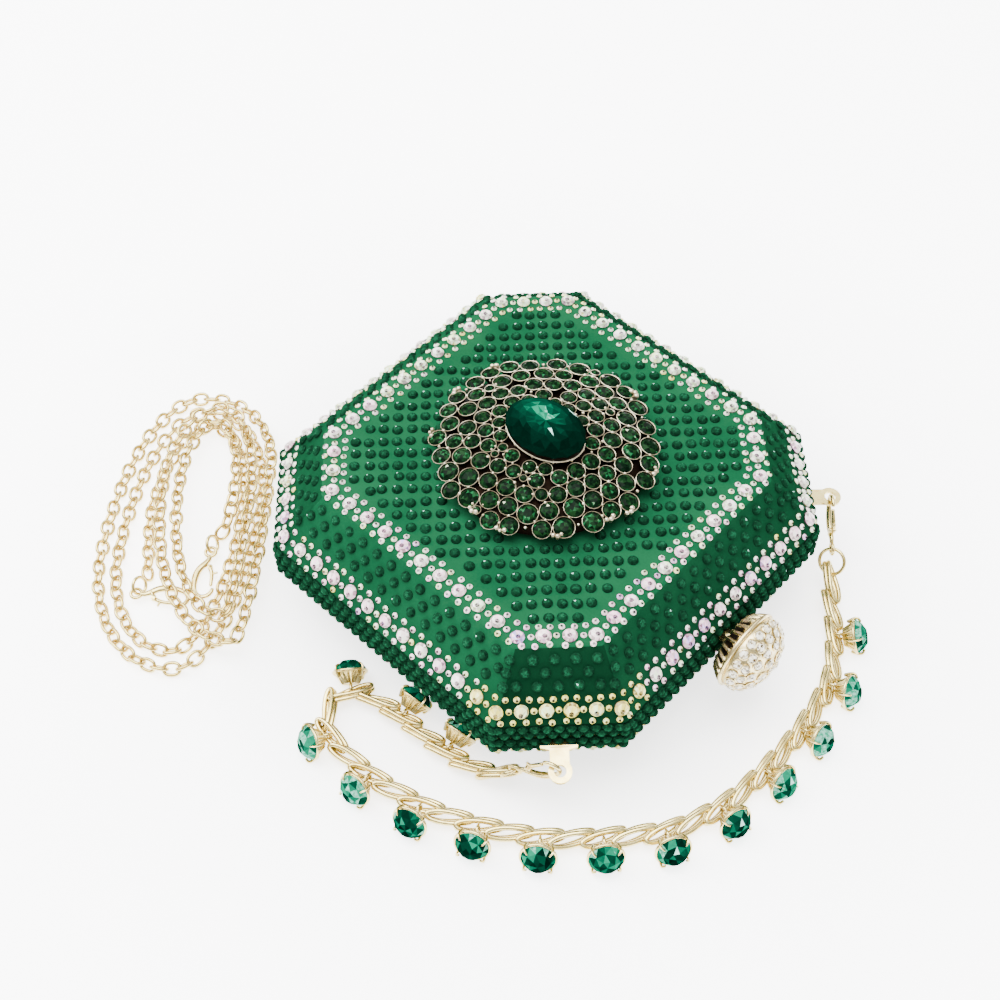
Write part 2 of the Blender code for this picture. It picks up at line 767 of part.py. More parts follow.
def turned(bm, profile, sides, origin, flute=None):
    """Turn a profile of (distance along +X, radius) pairs, with optional flutes in the radius."""
    rings = []
    for along, radius, share in profile:
        ring = []
        for i in range(sides):
            angle = 2 * math.pi * i / sides
            r = radius - (flute * share if flute and i % 2 else 0)
            ring.append(origin + Vector((along, r * math.cos(angle), r * math.sin(angle))))
        rings.append(ring)
    skin(bm, rings)


def knob_cap(axis_x):
    """The pleated gold cap behind the jewelled dome, with its rolled rim."""
    rim = KNOB_SKIRT_LENGTH
    front = rim + KNOB_RIM_LENGTH
    profile = (
        (0, KNOB_SKIRT_RADIUS, 1),
        (rim, KNOB_RADIUS - KNOB_FLUTE_DEPTH / 2, 1),
        (rim + KNOB_FLUTE_DEPTH / 2, KNOB_RADIUS, 0),
        (front, KNOB_RADIUS, 0),
        (front + KNOB_FLUTE_DEPTH / 2, KNOB_RADIUS - KNOB_FLUTE_DEPTH, 0),
    )
    bm = bmesh.new()
    turned(bm, profile, 2 * KNOB_FLUTES, Vector((axis_x, 0, SEAM)), KNOB_FLUTE_DEPTH)
    cap = add_object("knob_cap", bm, PALE_GOLD)
    bm = bmesh.new()
    start = (axis_x - OVERRUN, 0, SEAM)
    end = (axis_x + KNOB_SOCKET_DEPTH + LAYER_GAP, 0, SEAM)
    add_cylinder(bm, start, end, SHAFT_RADIUS + SLIDE_CLEARANCE)
    boolean(cap, tool_object("knob_socket", bm), "DIFFERENCE")
    return cap


def knob_dome(axis_x):
    """The domed front of the knob, studded with clear stones."""
    base = axis_x + KNOB_SKIRT_LENGTH + KNOB_RIM_LENGTH + KNOB_FLUTE_DEPTH / 2 + LAYER_GAP
    origin = Vector((base, 0, SEAM))
    bm = bmesh.new()
    shares = (0, 0.22, 0.44, 0.64, 0.82, 0.95)
    profile = [(0, KNOB_DOME_RADIUS, 0)]
    for share in shares:
        angle = share * math.pi / 2
        along = KNOB_PLATE + KNOB_DOME_HEIGHT * math.sin(angle)
        profile.append((along, KNOB_DOME_RADIUS * math.cos(angle), 0))
    turned(bm, profile, KNOB_SIDES, origin)
    dome = add_object("knob_dome", bm, CLEAR_STONE)
    bm = bmesh.new()
    for count, share in KNOB_STONE_RINGS:
        angle = share * math.pi / 2
        radius = KNOB_DOME_RADIUS * math.cos(angle)
        along = KNOB_PLATE + KNOB_DOME_HEIGHT * math.sin(angle)
        for i in range(count):
            turn = 2 * math.pi * i / count
            round_axis = Vector((0, math.cos(turn), math.sin(turn)))
            normal = Vector((math.sin(angle), 0, 0)) + round_axis * math.cos(angle)
            seat = origin + Vector((along, 0, 0)) + radius * round_axis
            add_stone(bm, seat, normal, KNOB_STONE_RADIUS, KNOB_STONE_HEIGHT)
    boolean(dome, tool_object("knob_dome_stones", bm), "UNION")
    return dome


def knob_shaft(axis_x):
    """The push rod, with the flange that stops it coming out and a tip on the latch."""
    flange = BRACKET_X - LAYER_GAP
    face = flange - SHAFT_FLANGE_THICKNESS
    profile = (
        (face - SHAFT_TIP_LENGTH, SHAFT_TIP_RADIUS, 0),
        (face, SHAFT_TIP_RADIUS, 0),
        (face, SHAFT_FLANGE_RADIUS, 0),
        (flange, SHAFT_FLANGE_RADIUS, 0),
        (flange, SHAFT_RADIUS, 0),
        (axis_x + KNOB_SOCKET_DEPTH, SHAFT_RADIUS, 0),
    )
    bm = bmesh.new()
    turned(bm, profile, ROUND_SIDES, Vector((0, 0, SEAM)))
    return add_object("knob_shaft", bm, STEEL, smooth_angle=40)


def latch_bracket():
    """The bracket on the frame's skirt that guides the shaft and holds the latch pin."""
    back = BRACKET_X
    front = BRACKET_X + BRACKET_THICKNESS
    bottom = SEAM - BRACKET_DROP
    bm = bmesh.new()
    add_box(bm, (back, -BRACKET_HALF_WIDTH, bottom), (front, BRACKET_HALF_WIDTH, SEAM + BRACKET_RISE))
    bracket = add_object("latch_bracket", bm, STEEL)
    bm = bmesh.new()
    overlap = BRACKET_THICKNESS / 2
    pivot_x, pivot_z = latch_pivot()
    cheek = (
        (back - CHEEK_LENGTH, SEAM - CHEEK_DROP),
        (pivot_x + CHEEK_TOE, SEAM - CHEEK_DROP),
        (back + overlap, bottom + overlap),
        (back + overlap, SEAM - CHEEK_RISE),
        (back - CHEEK_LENGTH, SEAM - CHEEK_RISE),
    )
    for side in (-1, 1):
        near = side * CHEEK_HALF_GAP
        far = side * (CHEEK_HALF_GAP + BRACKET_THICKNESS)
        skin(bm, [[Vector((x, y, z)) for x, z in cheek] for y in (min(near, far), max(near, far))])
        near = side * (BRACKET_HALF_WIDTH - FOOT_WIDTH)
        far = side * BRACKET_HALF_WIDTH
        low, high = min(near, far), max(near, far)
        foot_low = (front - overlap, low, bottom + LAYER_GAP)
        foot_high = (INNER_FACE - LAYER_GAP, high, FLANGE_BOTTOM)
        add_box(bm, foot_low, foot_high)
    boolean(bracket, tool_object("latch_bracket_cheeks", bm), "UNION")
    bm = bmesh.new()
    radius = SHAFT_RADIUS + SLIDE_CLEARANCE
    add_cylinder(bm, (back - OVERRUN, 0, SEAM), (front + OVERRUN, 0, SEAM), radius)
    reach = CHEEK_HALF_GAP + BRACKET_THICKNESS + OVERRUN
    bore = LATCH_PIN_RADIUS + SLIDE_CLEARANCE
    add_cylinder(bm, (pivot_x, -reach, pivot_z), (pivot_x, reach, pivot_z), bore)
    boolean(bracket, tool_object("latch_bracket_bores", bm), "DIFFERENCE")
    return bracket


def latch_face():
    """Where the latch's front face stands, just behind the shaft's tip."""
    flange = BRACKET_X - LAYER_GAP
    return flange - SHAFT_FLANGE_THICKNESS - SHAFT_TIP_LENGTH - LATCH_REACH


def latch_pivot():
    """The axis of the latch, on its plate's middle."""
    return latch_face() - LATCH_PLATE / 2, SEAM - LATCH_PIVOT_DROP


def latch_pin():
    """The pin that the latch swings on."""
    pivot_x, pivot_z = latch_pivot()
    reach = CHEEK_HALF_GAP + BRACKET_THICKNESS
    bm = bmesh.new()
    add_cylinder(bm, (pivot_x, -reach, pivot_z), (pivot_x, reach, pivot_z), LATCH_PIN_RADIUS)
    return add_object("latch_pin", bm, STEEL, smooth_angle=40)


def latch_lever():
    """The hooked plate that holds the lid, pushed aside by the knob."""
    pivot_x, pivot_z = latch_pivot()
    face = latch_face()
    back = face - LATCH_PLATE
    nose_low = SEAM + NOSE_RISE
    nose_high = nose_low + NOSE_THICKNESS
    tip = INNER_FACE - LAYER_GAP - STRIKE_THICKNESS - LAYER_GAP
    outline = (
        (back, pivot_z),
        (face, pivot_z),
        (face, nose_low),
        (tip, nose_low),
        (tip, nose_low + NOSE_THICKNESS / 3),
        (face, nose_high + NOSE_THICKNESS),
        (back, nose_high + NOSE_THICKNESS),
    )
    bm = bmesh.new()
    sides = [[Vector((x, y, z)) for x, z in outline] for y in (-LATCH_HALF_WIDTH, LATCH_HALF_WIDTH)]
    skin(bm, sides)
    lever = add_object("latch_lever", bm, STEEL)
    bm = bmesh.new()
    hub = LATCH_HUB_HALF
    add_cylinder(bm, (pivot_x, -hub, pivot_z), (pivot_x, hub, pivot_z), LATCH_HUB_RADIUS)
    boolean(lever, tool_object("latch_hub", bm), "UNION")
    bm = bmesh.new()
    reach = LATCH_HALF_WIDTH + OVERRUN
    bore = LATCH_PIN_RADIUS + SLIDE_CLEARANCE
    add_cylinder(bm, (pivot_x, -reach, pivot_z), (pivot_x, reach, pivot_z), bore)
    boolean(lever, tool_object("latch_bore", bm), "DIFFERENCE")
    bm = bmesh.new()
    clear = SPRING_RADIUS + SPRING_WIRE + LAYER_GAP
    for side in (-1, 1):
        near = side * LATCH_HUB_HALF
        far = side * (LATCH_HALF_WIDTH + OVERRUN)
        low, high = min(near, far), max(near, far)
        add_box(bm, (back - OVERRUN, low, pivot_z - OVERRUN), (face + OVERRUN, high, pivot_z + clear))
    boolean(lever, tool_object("latch_spring_room", bm), "DIFFERENCE")
    return lever


def latch_spring():
    """The torsion spring on the latch pin that returns the latch and the knob."""
    pivot_x, pivot_z = latch_pivot()
    start = LATCH_HUB_HALF + SPRING_WIRE + LAYER_GAP
    points = []
    total = SPRING_TURNS * SPRING_STEPS
    for i in range(total + 1):
        angle = 2 * math.pi * i / SPRING_STEPS
        y = start + SPRING_PITCH * i / SPRING_STEPS
        x = pivot_x + SPRING_RADIUS * math.cos(angle)
        points.append((x, y, pivot_z + SPRING_RADIUS * math.sin(angle)))
    first, last = points[0], points[-1]
    leg = (first[0], first[1], first[2] - SPRING_LEG / 2)
    points = [leg, *points, (last[0], last[1], last[2] + SPRING_LEG / 2)]
    bm = bmesh.new()
    add_tube(bm, points, [SPRING_WIRE] * len(points), LINK_SIDES)
    return add_object("latch_spring", bm, STEEL)


def strike_plate():
    """The keeper on the lid, with the window that the latch's nose enters."""
    back = INNER_FACE - LAYER_GAP - STRIKE_THICKNESS
    front = INNER_FACE - LAYER_GAP
    bm = bmesh.new()
    bottom, top = SEAM + STRIKE_BOTTOM, SEAM + STRIKE_TOP
    add_box(bm, (back, -STRIKE_HALF_WIDTH, bottom), (front, STRIKE_HALF_WIDTH, top))
    plate = add_object("strike_plate", bm, STEEL)
    bm = bmesh.new()
    low = SEAM + NOSE_RISE - LAYER_GAP
    low_corner = (back - OVERRUN, -WINDOW_HALF_WIDTH, low)
    add_box(bm, low_corner, (front + OVERRUN, WINDOW_HALF_WIDTH, low + WINDOW_HEIGHT))
    boolean(plate, tool_object("strike_window", bm), "DIFFERENCE")
    bm = bmesh.new()
    radius = SHAFT_RADIUS + SHAFT_CLEARANCE
    add_cylinder(bm, (back - OVERRUN, 0, SEAM), (front + OVERRUN, 0, SEAM), radius)
    boolean(plate, tool_object("strike_notch", bm), "DIFFERENCE")
    return plate


def add_bar(bm, root, out, across, span, half, level):
    """A flat bar along a lug's own direction, between two distances from its root."""
    ends = []
    for x in span:
        corners = ((-half, -level), (half, -level), (half, level), (-half, level))
        ends.append([root + out * x + across * y + Vector((0, 0, z)) for y, z in corners])
    skin(bm, ends)


def lug_frame(side):
    """A lug's place: its outward direction, its sideways direction and its root on the wall."""
    out = Vector((1, side, 0)).normalized()
    across = Vector((-side, 1, 0)).normalized()
    root = out * (STONE_FACE + CORNER_REACH + LAYER_GAP)
    return out, across, root + Vector((0, 0, SEAM - LUG_DROP))


def lug_eye(side, droop):
    """The middle of a lug's hole."""
    out, _, root = lug_frame(side)
    fall = LUG_EYE_REACH * math.tan(math.radians(droop))
    return root + out * LUG_EYE_REACH - Vector((0, 0, fall))


def lug(name, side, droop):
    """A flat tab with two ears against the wall, a tenon in it and an eye for the clasp."""
    out, across, root = lug_frame(side)
    half = LUG_WIDTH / 2
    start = math.asin(half / LUG_EYE_RADIUS)
    sweep = 2 * (math.pi - start)
    outline = [(0, -LUG_EAR_HALF_WIDTH), (LUG_EAR_LENGTH / 2, -LUG_EAR_HALF_WIDTH), (LUG_EAR_LENGTH, -half)]
    for i in range(ROUND_SIDES + 1):
        angle = math.pi + start + sweep * i / ROUND_SIDES
        outline.append((LUG_EYE_REACH + LUG_EYE_RADIUS * math.cos(angle), LUG_EYE_RADIUS * math.sin(angle)))
    outline += [(LUG_EAR_LENGTH, half), (LUG_EAR_LENGTH / 2, LUG_EAR_HALF_WIDTH), (0, LUG_EAR_HALF_WIDTH)]
    fall = math.tan(math.radians(droop))
    bm = bmesh.new()
    faces = []
    for level in (-LUG_THICKNESS / 2, LUG_THICKNESS / 2):
        faces.append([root + out * x + across * y + Vector((0, 0, level - fall * x)) for x, y in outline])
    skin(bm, faces)
    obj = add_object(name, bm, PALE_GOLD)
    bm = bmesh.new()
    tenon = -LAYER_GAP - FIELD_STONE_HEIGHT - LAYER_GAP - LUG_TENON
    level = LUG_THICKNESS / 2 - LUG_TENON_STEP
    add_bar(bm, root, out, across, (tenon, LUG_EAR_LENGTH / 2), half - LUG_TENON_STEP, level)
    boolean(obj, tool_object(f"{name}_tenon", bm), "UNION")
    eye = lug_eye(side, droop)
    bm = bmesh.new()
    reach = Vector((0, 0, LUG_THICKNESS + OVERRUN))
    add_cylinder(bm, eye - reach, eye + reach, LUG_HOLE_RADIUS)
    boolean(obj, tool_object(f"{name}_hole", bm), "DIFFERENCE")
    return obj


def lug_slot(side):
    """The slot that a lug's tenon sits in."""
    out, across, root = lug_frame(side)
    start = -LAYER_GAP - FIELD_STONE_HEIGHT - LAYER_GAP - LUG_TENON - LUG_TENON_CLEARANCE
    half = LUG_WIDTH / 2 + LUG_TENON_CLEARANCE
    level = LUG_THICKNESS / 2 + LUG_TENON_CLEARANCE
    bm = bmesh.new()
    add_bar(bm, root, out, across, (start, OVERRUN), half, level)
    return tool_object(f"lug_slot_{'right' if side > 0 else 'front'}", bm)


def brooch_height(radius):
    """Height of the brooch's domed plate over the panel's stones, this far from its middle."""
    share = radius / BROOCH_RADIUS
    return BROOCH_RIM_HEIGHT + BROOCH_CROWN * (1 - share**2)


def brooch_base(lid_top):
    """The domed plate with its rings of stone settings."""
    rings = []
    shares = (0.37, 0.705, 1.0)
    up, east, north = Vector((0, 0, 1)), Vector((1, 0, 0)), Vector((0, 1, 0))
    for share in shares:
        radius = share * BROOCH_RADIUS
        centre = up * (lid_top + brooch_height(radius))
        rings.append(ring_of(centre, east, north, radius, BROOCH_SEGMENTS))
    rings.append(ring_of(up * lid_top, east, north, BROOCH_RADIUS, BROOCH_SEGMENTS))
    for share in reversed(shares):
        radius = share * BROOCH_RADIUS - BROOCH_PLATE
        centre = up * (lid_top + max(brooch_height(radius) - BROOCH_PLATE, 0))
        rings.append(ring_of(centre, east, north, radius, BROOCH_SEGMENTS))
    bm = bmesh.new()
    skin(bm, rings)
    plate = add_object("brooch_base", bm, ANTIQUE_GOLD)
    bm = bmesh.new()
    for count, share in SETTING_RINGS:
        radius = share * BROOCH_RADIUS
        slope = 2 * BROOCH_CROWN * share / BROOCH_RADIUS
        for i in range(count):
            turn = 2 * math.pi * (i + 0.5) / count
            way = Vector((math.cos(turn), math.sin(turn), 0))
            seat = way * radius + up * (lid_top + brooch_height(radius))
            normal = (up + way * slope).normalized()
            add_stone(bm, seat, normal, SETTING_RADIUS, SETTING_HEIGHT, sink=SETTING_SINK)
    boolean(plate, tool_object("brooch_settings", bm), "UNION")
    return plate


def oval(half_length, half_width, z):
    """An oval ring of points, long along X."""
    angles = [2 * math.pi * i / CENTRE_SEGMENTS for i in range(CENTRE_SEGMENTS)]
    return [Vector((half_length * math.cos(a), half_width * math.sin(a), z)) for a in angles]


def bezel_floor(lid_top):
    """The height of the bezel's foot over the dome's middle."""
    return lid_top + brooch_height(0) + LAYER_GAP


def brooch_bezel(lid_top):
    """The oval cup that holds the centre stone."""
    low = bezel_floor(lid_top)
    high = low + BEZEL_HEIGHT
    inner_length = BEZEL_HALF_LENGTH - BEZEL_WALL
    inner_width = BEZEL_HALF_WIDTH - BEZEL_WALL
    culet_share = 0.6
    rings = (
        oval(BEZEL_HALF_LENGTH, BEZEL_HALF_WIDTH, low),
        oval(BEZEL_HALF_LENGTH, BEZEL_HALF_WIDTH, high),
        oval(inner_length, inner_width, high),
        oval(inner_length, inner_width, high - BEZEL_WALL),
        oval(inner_length * culet_share, inner_width * culet_share, low + BEZEL_FLOOR),
    )
    bm = bmesh.new()
    skin(bm, rings)
    return add_object("brooch_bezel", bm, ANTIQUE_GOLD)


def centre_stone(lid_top):
    """The large oval stone, cut with a crown, a girdle and a shallow pavilion."""
    top = bezel_floor(lid_top) + BEZEL_HEIGHT
    girdle = top - CENTRE_GIRDLE_DROP
    length = BEZEL_HALF_LENGTH - BEZEL_WALL - LAYER_GAP
    width = BEZEL_HALF_WIDTH - BEZEL_WALL - LAYER_GAP
    culet = bezel_floor(lid_top) + BEZEL_FLOOR + LAYER_GAP + LAYER_GAP
    culet_share = 0.42
    mid_share = (1 + CENTRE_TABLE_SHARE) / 2
    rings = (
        oval(length * culet_share, width * culet_share, culet),
        oval(length, width, girdle - CENTRE_GIRDLE_DROP),
        oval(length, width, girdle),
        oval(length * mid_share, width * mid_share, girdle + CENTRE_CROWN * mid_share),
        oval(length * CENTRE_TABLE_SHARE, width * CENTRE_TABLE_SHARE, girdle + CENTRE_CROWN),
    )
    bm = bmesh.new()
    skin(bm, rings)
    return add_object("centre_stone", bm, EMERALD)


def add_link(bm, centre, along, outward):
    """One twisted oval link: its two ends stand crosswise, so that each passes through the next."""
    half_length = (LINK_PITCH - LINK_FUSE) / 2 + LINK_WIRE_RADIUS
    up = along.cross(outward).normalized()
    across = up.cross(along).normalized()
    points, normals = [], []
    for i in range(LINK_STEPS):
        angle = 2 * math.pi * i / LINK_STEPS
        roll = math.radians(LINK_TWIST) * math.cos(angle)
        flat = math.cos(roll) * across + math.sin(roll) * up
        normals.append(along.cross(flat))
        length, width = half_length * math.cos(angle), LINK_HALF_WIDTH * math.sin(angle)
        points.append(centre + along * length + flat * width)
    add_loop(bm, points, normals, LINK_WIRE_RADIUS, LINK_SIDES)


def cup_frame(centre, outward):
    """The axis of a drop cup and its two cross directions, with its back's middle."""
    tilt = math.radians(CUP_TILT)
    axis = outward * math.cos(tilt) + Vector((0, 0, math.sin(tilt)))
    across = axis.cross(Vector((0, 0, 1))).normalized()
    up = across.cross(axis).normalized()
    front = Vector((centre.x, centre.y, DROP_FRONT_HEIGHT))
    front += outward * (CUP_BACK_OFFSET + CUP_DEPTH * math.cos(tilt))
    return axis, across, up, front - axis * CUP_DEPTH


def add_cup(bm, centre, outward):
    """A tapered cup whose rim rises into four prongs."""
    axis, across, up, back = cup_frame(centre, outward)
    front = back + axis * CUP_DEPTH
    shoulder = back + axis * CUP_SHOULDER
    rim_outer = ring_of(front, across, up, CUP_RADIUS, CUP_SIDES)
    rim_inner = ring_of(front, across, up, CUP_RADIUS - CUP_WALL, CUP_SIDES)
    for i in range(0, CUP_SIDES, 2):
        rim_outer[i] = rim_outer[i] + axis * PRONG_LENGTH
        rim_inner[i] = rim_inner[i] + axis * PRONG_LENGTH
    inner_radius = CUP_BACK_RADIUS - CUP_WALL
    rings = (
        ring_of(back, across, up, CUP_BACK_RADIUS, CUP_SIDES),
        ring_of(shoulder, across, up, CUP_RADIUS - CUP_WALL / 2, CUP_SIDES),
        rim_outer,
        rim_inner,
        ring_of(shoulder, across, up, CUP_RADIUS - 3 * CUP_WALL / 2, CUP_SIDES),
        ring_of(back + axis * CUP_FLOOR, across, up, inner_radius, CUP_SIDES),
    )
    skin(bm, rings)


def drop_stone(name, centre, outward):
    """A round stone seated in one cup."""
    axis, across, up, back = cup_frame(centre, outward)
    front = back + axis * CUP_DEPTH
    radius = CUP_RADIUS - 3 * CUP_WALL / 2 - LAYER_GAP
    culet = back + axis * (CUP_FLOOR + LAYER_GAP)
    culet_radius = CUP_BACK_RADIUS - CUP_WALL - LAYER_GAP - LAYER_GAP
    rings = (
        ring_of(culet, across, up, culet_radius, CUP_SIDES),
        ring_of(front - axis * LAYER_GAP, across, up, radius, CUP_SIDES),
        ring_of(front + axis * LAYER_GAP, across, up, radius, CUP_SIDES),
        ring_of(front + axis * DROP_CROWN, across, up, radius * DROP_TABLE_SHARE, CUP_SIDES),
    )
    bm = bmesh.new()
    skin(bm, rings)
    return add_object(name, bm, EMERALD)


def beside_case(place):
    """A point laid beside the case, moved out as the case gets wider."""
    x, y, z = place
    wider = WALL_HALF / ROUTE_CASE_HALF
    return Vector((x * wider, y * wider, z))


def strap_end(ring_far, toward):
    """Where the strap's line begins, so that its end link holds the ring's far side."""
    way = (toward - ring_far).normalized()
    half_length = (LINK_PITCH - LINK_FUSE) / 2 + LINK_WIRE_RADIUS
    reach = half_length - LINK_WIRE_RADIUS - RING_WIRE - LAYER_GAP - RING_PLAY
    return ring_far + way * (reach - LINK_PITCH / 2)


def link_places(front_far, right_far):
    """Centre, direction and outward side of each link between the two rings."""
    between = [beside_case(point) for point in STRAP_ROUTE]
    first = strap_end(front_far, between[0])
    last = strap_end(right_far, between[-1])
    route = [first, *between, last]
    fine = smooth_curve(route, LINK_WIRE_RADIUS)
    total = sum((b - a).length for a, b in zip(fine, fine[1:])) + (last - fine[-1]).length
    count = round(total / LINK_PITCH)
    print(f"strap {total * 1000:.1f} mm in {count} links")
    half = smooth_curve(route, total / count / 2)
    if len(half) == 2 * count:
        half.append(last)
    places = []
    for i in range(1, len(half) - 1, 2):
        along = (half[i + 1] - half[i - 1]).normalized()
        outward = Vector((along.y, -along.x, 0)).normalized()
        places.append((half[i], along, outward))
    return places


def strap_chain(places):
    """All the links, fused where each passes through the next, with the drop cups on them."""
    bm = bmesh.new()
    for centre, along, outward in places[::2]:
        add_link(bm, centre, along, outward)
    chain = add_object("strap_chain", bm, PALE_GOLD)
    bm = bmesh.new()
    for centre, along, outward in places[1::2]:
        add_link(bm, centre, along, outward)
    boolean(chain, tool_object("strap_links_between", bm), "UNION")
    bm = bmesh.new()
    for centre, _, outward in drop_places(places):
        add_cup(bm, centre, outward)
    boolean(chain, tool_object("strap_cups", bm), "UNION")
    return chain


def drop_places(places):
    """The links that carry a drop: every second one."""
    return places[FIRST_DROP_LINK : FIRST_DROP_LINK + 2 * DROP_COUNT : 2]


def claw_body_points():
    """Centre line of a clasp's hook, from its nose round the head to its heel, with wire radii."""
    head, back, mean = CLAW_HEAD_WIRE, CLAW_BACK_WIRE, (CLAW_HEAD_WIRE + CLAW_BACK_WIRE) / 2
    reach = CLAW_REACH
    shares = (
        (0.835, 0.170, head),
        (0.900, 0.150, head),
        (0.965, 0.095, head),
        (1.000, 0.010, head),
        (0.975, -0.085, head),
        (0.890, -0.160, mean),
        (0.740, -0.200, back),
        (0.560, -0.200, back),
        (0.400, -0.155, back),
        (0.270, -0.065, back),
        (0.180, -0.010, mean),
        (0.100, 0.000, head),
    )
    return [(x * reach, y * reach, wire) for x, y, wire in shares]


def claw_place(tail, head, plane):
    """Matrix from a clasp's own axes: X from its eye to its head, Y towards its lever."""
    along = (head - tail).normalized()
    level = along.cross(plane).normalized()
    lever_way = level.cross(along).normalized()
    matrix = Matrix((along, lever_way, level)).transposed().to_4x4()
    matrix.translation = tail
    return matrix


def claw(name, matrix):
    """The hook of a trigger clasp with the eye at its tail."""
    bm = bmesh.new()
    points = claw_body_points()
    line = [matrix @ Vector((x, y, 0)) for x, y, _ in points]
    add_tube(bm, line, [wire for _, _, wire in points], CLAW_SIDES)
    body = add_object(name, bm, PALE_GOLD, smooth_angle=60)
    bm = bmesh.new()
    angles = [2 * math.pi * i / ROUND_SIDES for i in range(ROUND_SIDES)]
    circle = [matrix @ (CLAW_EYE_RADIUS * Vector((math.cos(a), math.sin(a), 0))) for a in angles]
    normal = matrix.to_3x3() @ Vector((0, 0, 1))
    add_loop(bm, circle, [normal] * ROUND_SIDES, CLAW_EYE_WIRE, RING_SIDES)
    boolean(body, tool_object(f"{name}_eye", bm), "UNION")
    x, y = LEVER_PIVOT
    root_x, root_y, root_wire = points[9]
    bm = bmesh.new()
    level = -(TONGUE_LOW + TONGUE_HIGH) / 2
    root, tip = matrix @ Vector((root_x, root_y, level)), matrix @ Vector((x, y, level))
    add_cylinder(bm, root, tip, root_wire / 3, LINK_SIDES)
    boolean(body, tool_object(f"{name}_arm", bm), "UNION")
    bm = bmesh.new()
    low, high = matrix @ Vector((x, y, -TONGUE_LOW)), matrix @ Vector((x, y, -TONGUE_HIGH))
    add_cylinder(bm, low, high, TONGUE_RADIUS, CLAW_SIDES)
    boolean(body, tool_object(f"{name}_tongue", bm), "UNION")
    bm = bmesh.new()
    low = matrix @ Vector((x, y, -TONGUE_LOW / 2))
    high = matrix @ Vector((x, y, LEVER_HUB_HIGH + LEVER_PIN))
    add_cylinder(bm, low, high, LEVER_PIN, CLAW_SIDES)
    boolean(body, tool_object(f"{name}_pin", bm), "UNION")
    return body


def claw_lever(name, matrix):
    """The sprung trigger that closes the hook: a hub on the hook's pin, an arm and a thumb spur."""
    x0, y0 = LEVER_PIVOT
    nose_x, nose_y, _ = claw_body_points()[0]
    end = Vector((nose_x - CLAW_HEAD_WIRE - LAYER_GAP - LEVER_WIRE, nose_y - CLAW_HEAD_WIRE, 0))
    hub = Vector((x0, y0, (LEVER_HUB_LOW + LEVER_HUB_HIGH) / 2))
    knee = hub.lerp(end, 0.4)
    knee.y += LEVER_HUB_RADIUS / 2
    path = (hub.lerp(knee, 0.2), knee, end)
    bm = bmesh.new()
    add_tube(bm, [matrix @ point for point in path], (LEVER_HUB_HIGH / 2, LEVER_WIRE, LEVER_WIRE), CLAW_SIDES)
    lever = add_object(name, bm, PALE_GOLD, smooth_angle=60)
    bm = bmesh.new()
    low, high = matrix @ Vector((x0, y0, LEVER_HUB_LOW)), matrix @ Vector((x0, y0, LEVER_HUB_HIGH))
    add_cylinder(bm, low, high, LEVER_HUB_RADIUS, CLAW_SIDES)
    boolean(lever, tool_object(f"{name}_hub", bm), "UNION")
    bm = bmesh.new()
    spur = knee + Vector((-THUMB_LENGTH / 2, THUMB_LENGTH, 0))
    add_cylinder(bm, matrix @ knee, matrix @ spur, LEVER_WIRE * 0.7, LINK_SIDES, LEVER_WIRE * 0.5)
    boolean(lever, tool_object(f"{name}_spur", bm), "UNION")
    bm = bmesh.new()
    low = matrix @ Vector((x0, y0, LEVER_HUB_LOW - OVERRUN))
    high = matrix @ Vector((x0, y0, LEVER_HUB_HIGH + OVERRUN))
    add_cylinder(bm, low, high, LEVER_BORE, CLAW_SIDES)
    boolean(lever, tool_object(f"{name}_bore", bm), "DIFFERENCE")
    return lever


def jump_ring(name, centre, normal, radius):
    """A round wire ring."""
    normal = normal.normalized()
    across = perpendicular(normal)
    points = ring_of(centre, across, normal.cross(across), radius, RING_STEPS)
    bm = bmesh.new()
    add_loop(bm, points, [normal] * RING_STEPS, RING_WIRE, RING_SIDES)
    return add_object(name, bm, PALE_GOLD, smooth_angle=60)


def ring_past_eye(matrix, away, radius, turn):
    """Centre and normal of a ring threaded through a clasp's eye and hanging towards a point."""
    eye = matrix.translation
    level = matrix.to_3x3() @ Vector((0, 0, 1))
    way = away - eye
    way = (way - level * way.dot(level)).normalized()
    normal = Matrix.Rotation(math.radians(turn), 3, way) @ way.cross(level)
    return eye + way * radius, normal


def heap_point(u, v, z):
    """A place in the heap's own axes, turned into the case's."""
    turn = math.radians(HEAP_TURN)
    centre = beside_case((*HEAP_CENTRE, z))
    x = centre.x + u * math.cos(turn) - v * math.sin(turn)
    y = centre.y + u * math.sin(turn) + v * math.cos(turn)
    return Vector((x, y, z))


def heap_route():
    """The shoulder chain's loops: quarter ovals between the outermost points of each turn."""
    points = []
    for here, after in zip(HEAP_TURNS, HEAP_TURNS[1:]):
        for k in range(QUARTER_STEPS):
            t = k / QUARTER_STEPS
            ease = t**2 * (3 - 2 * t)
            rise, fall = math.sin(t * math.pi / 2), math.cos(t * math.pi / 2)
            if here[0] == "start":
                u, v = here[1] + (after[1] - here[1]) * ease, here[2] + (after[2] - here[2]) * t
            elif here[0] in ("left", "right"):
                u, v = after[1] + (here[1] - after[1]) * fall, here[2] + (after[2] - here[2]) * rise
            else:
                u, v = here[1] + (after[1] - here[1]) * rise, after[2] + (here[2] - after[2]) * fall
            layer = here[3] + (after[3] - here[3]) * ease
            points.append(heap_point(u, v, FLOOR_LAYER + (UPPER_LAYER - FLOOR_LAYER) * layer))
    last = HEAP_TURNS[-1]
    points.append(heap_point(last[1], last[2], FLOOR_LAYER))
    return points


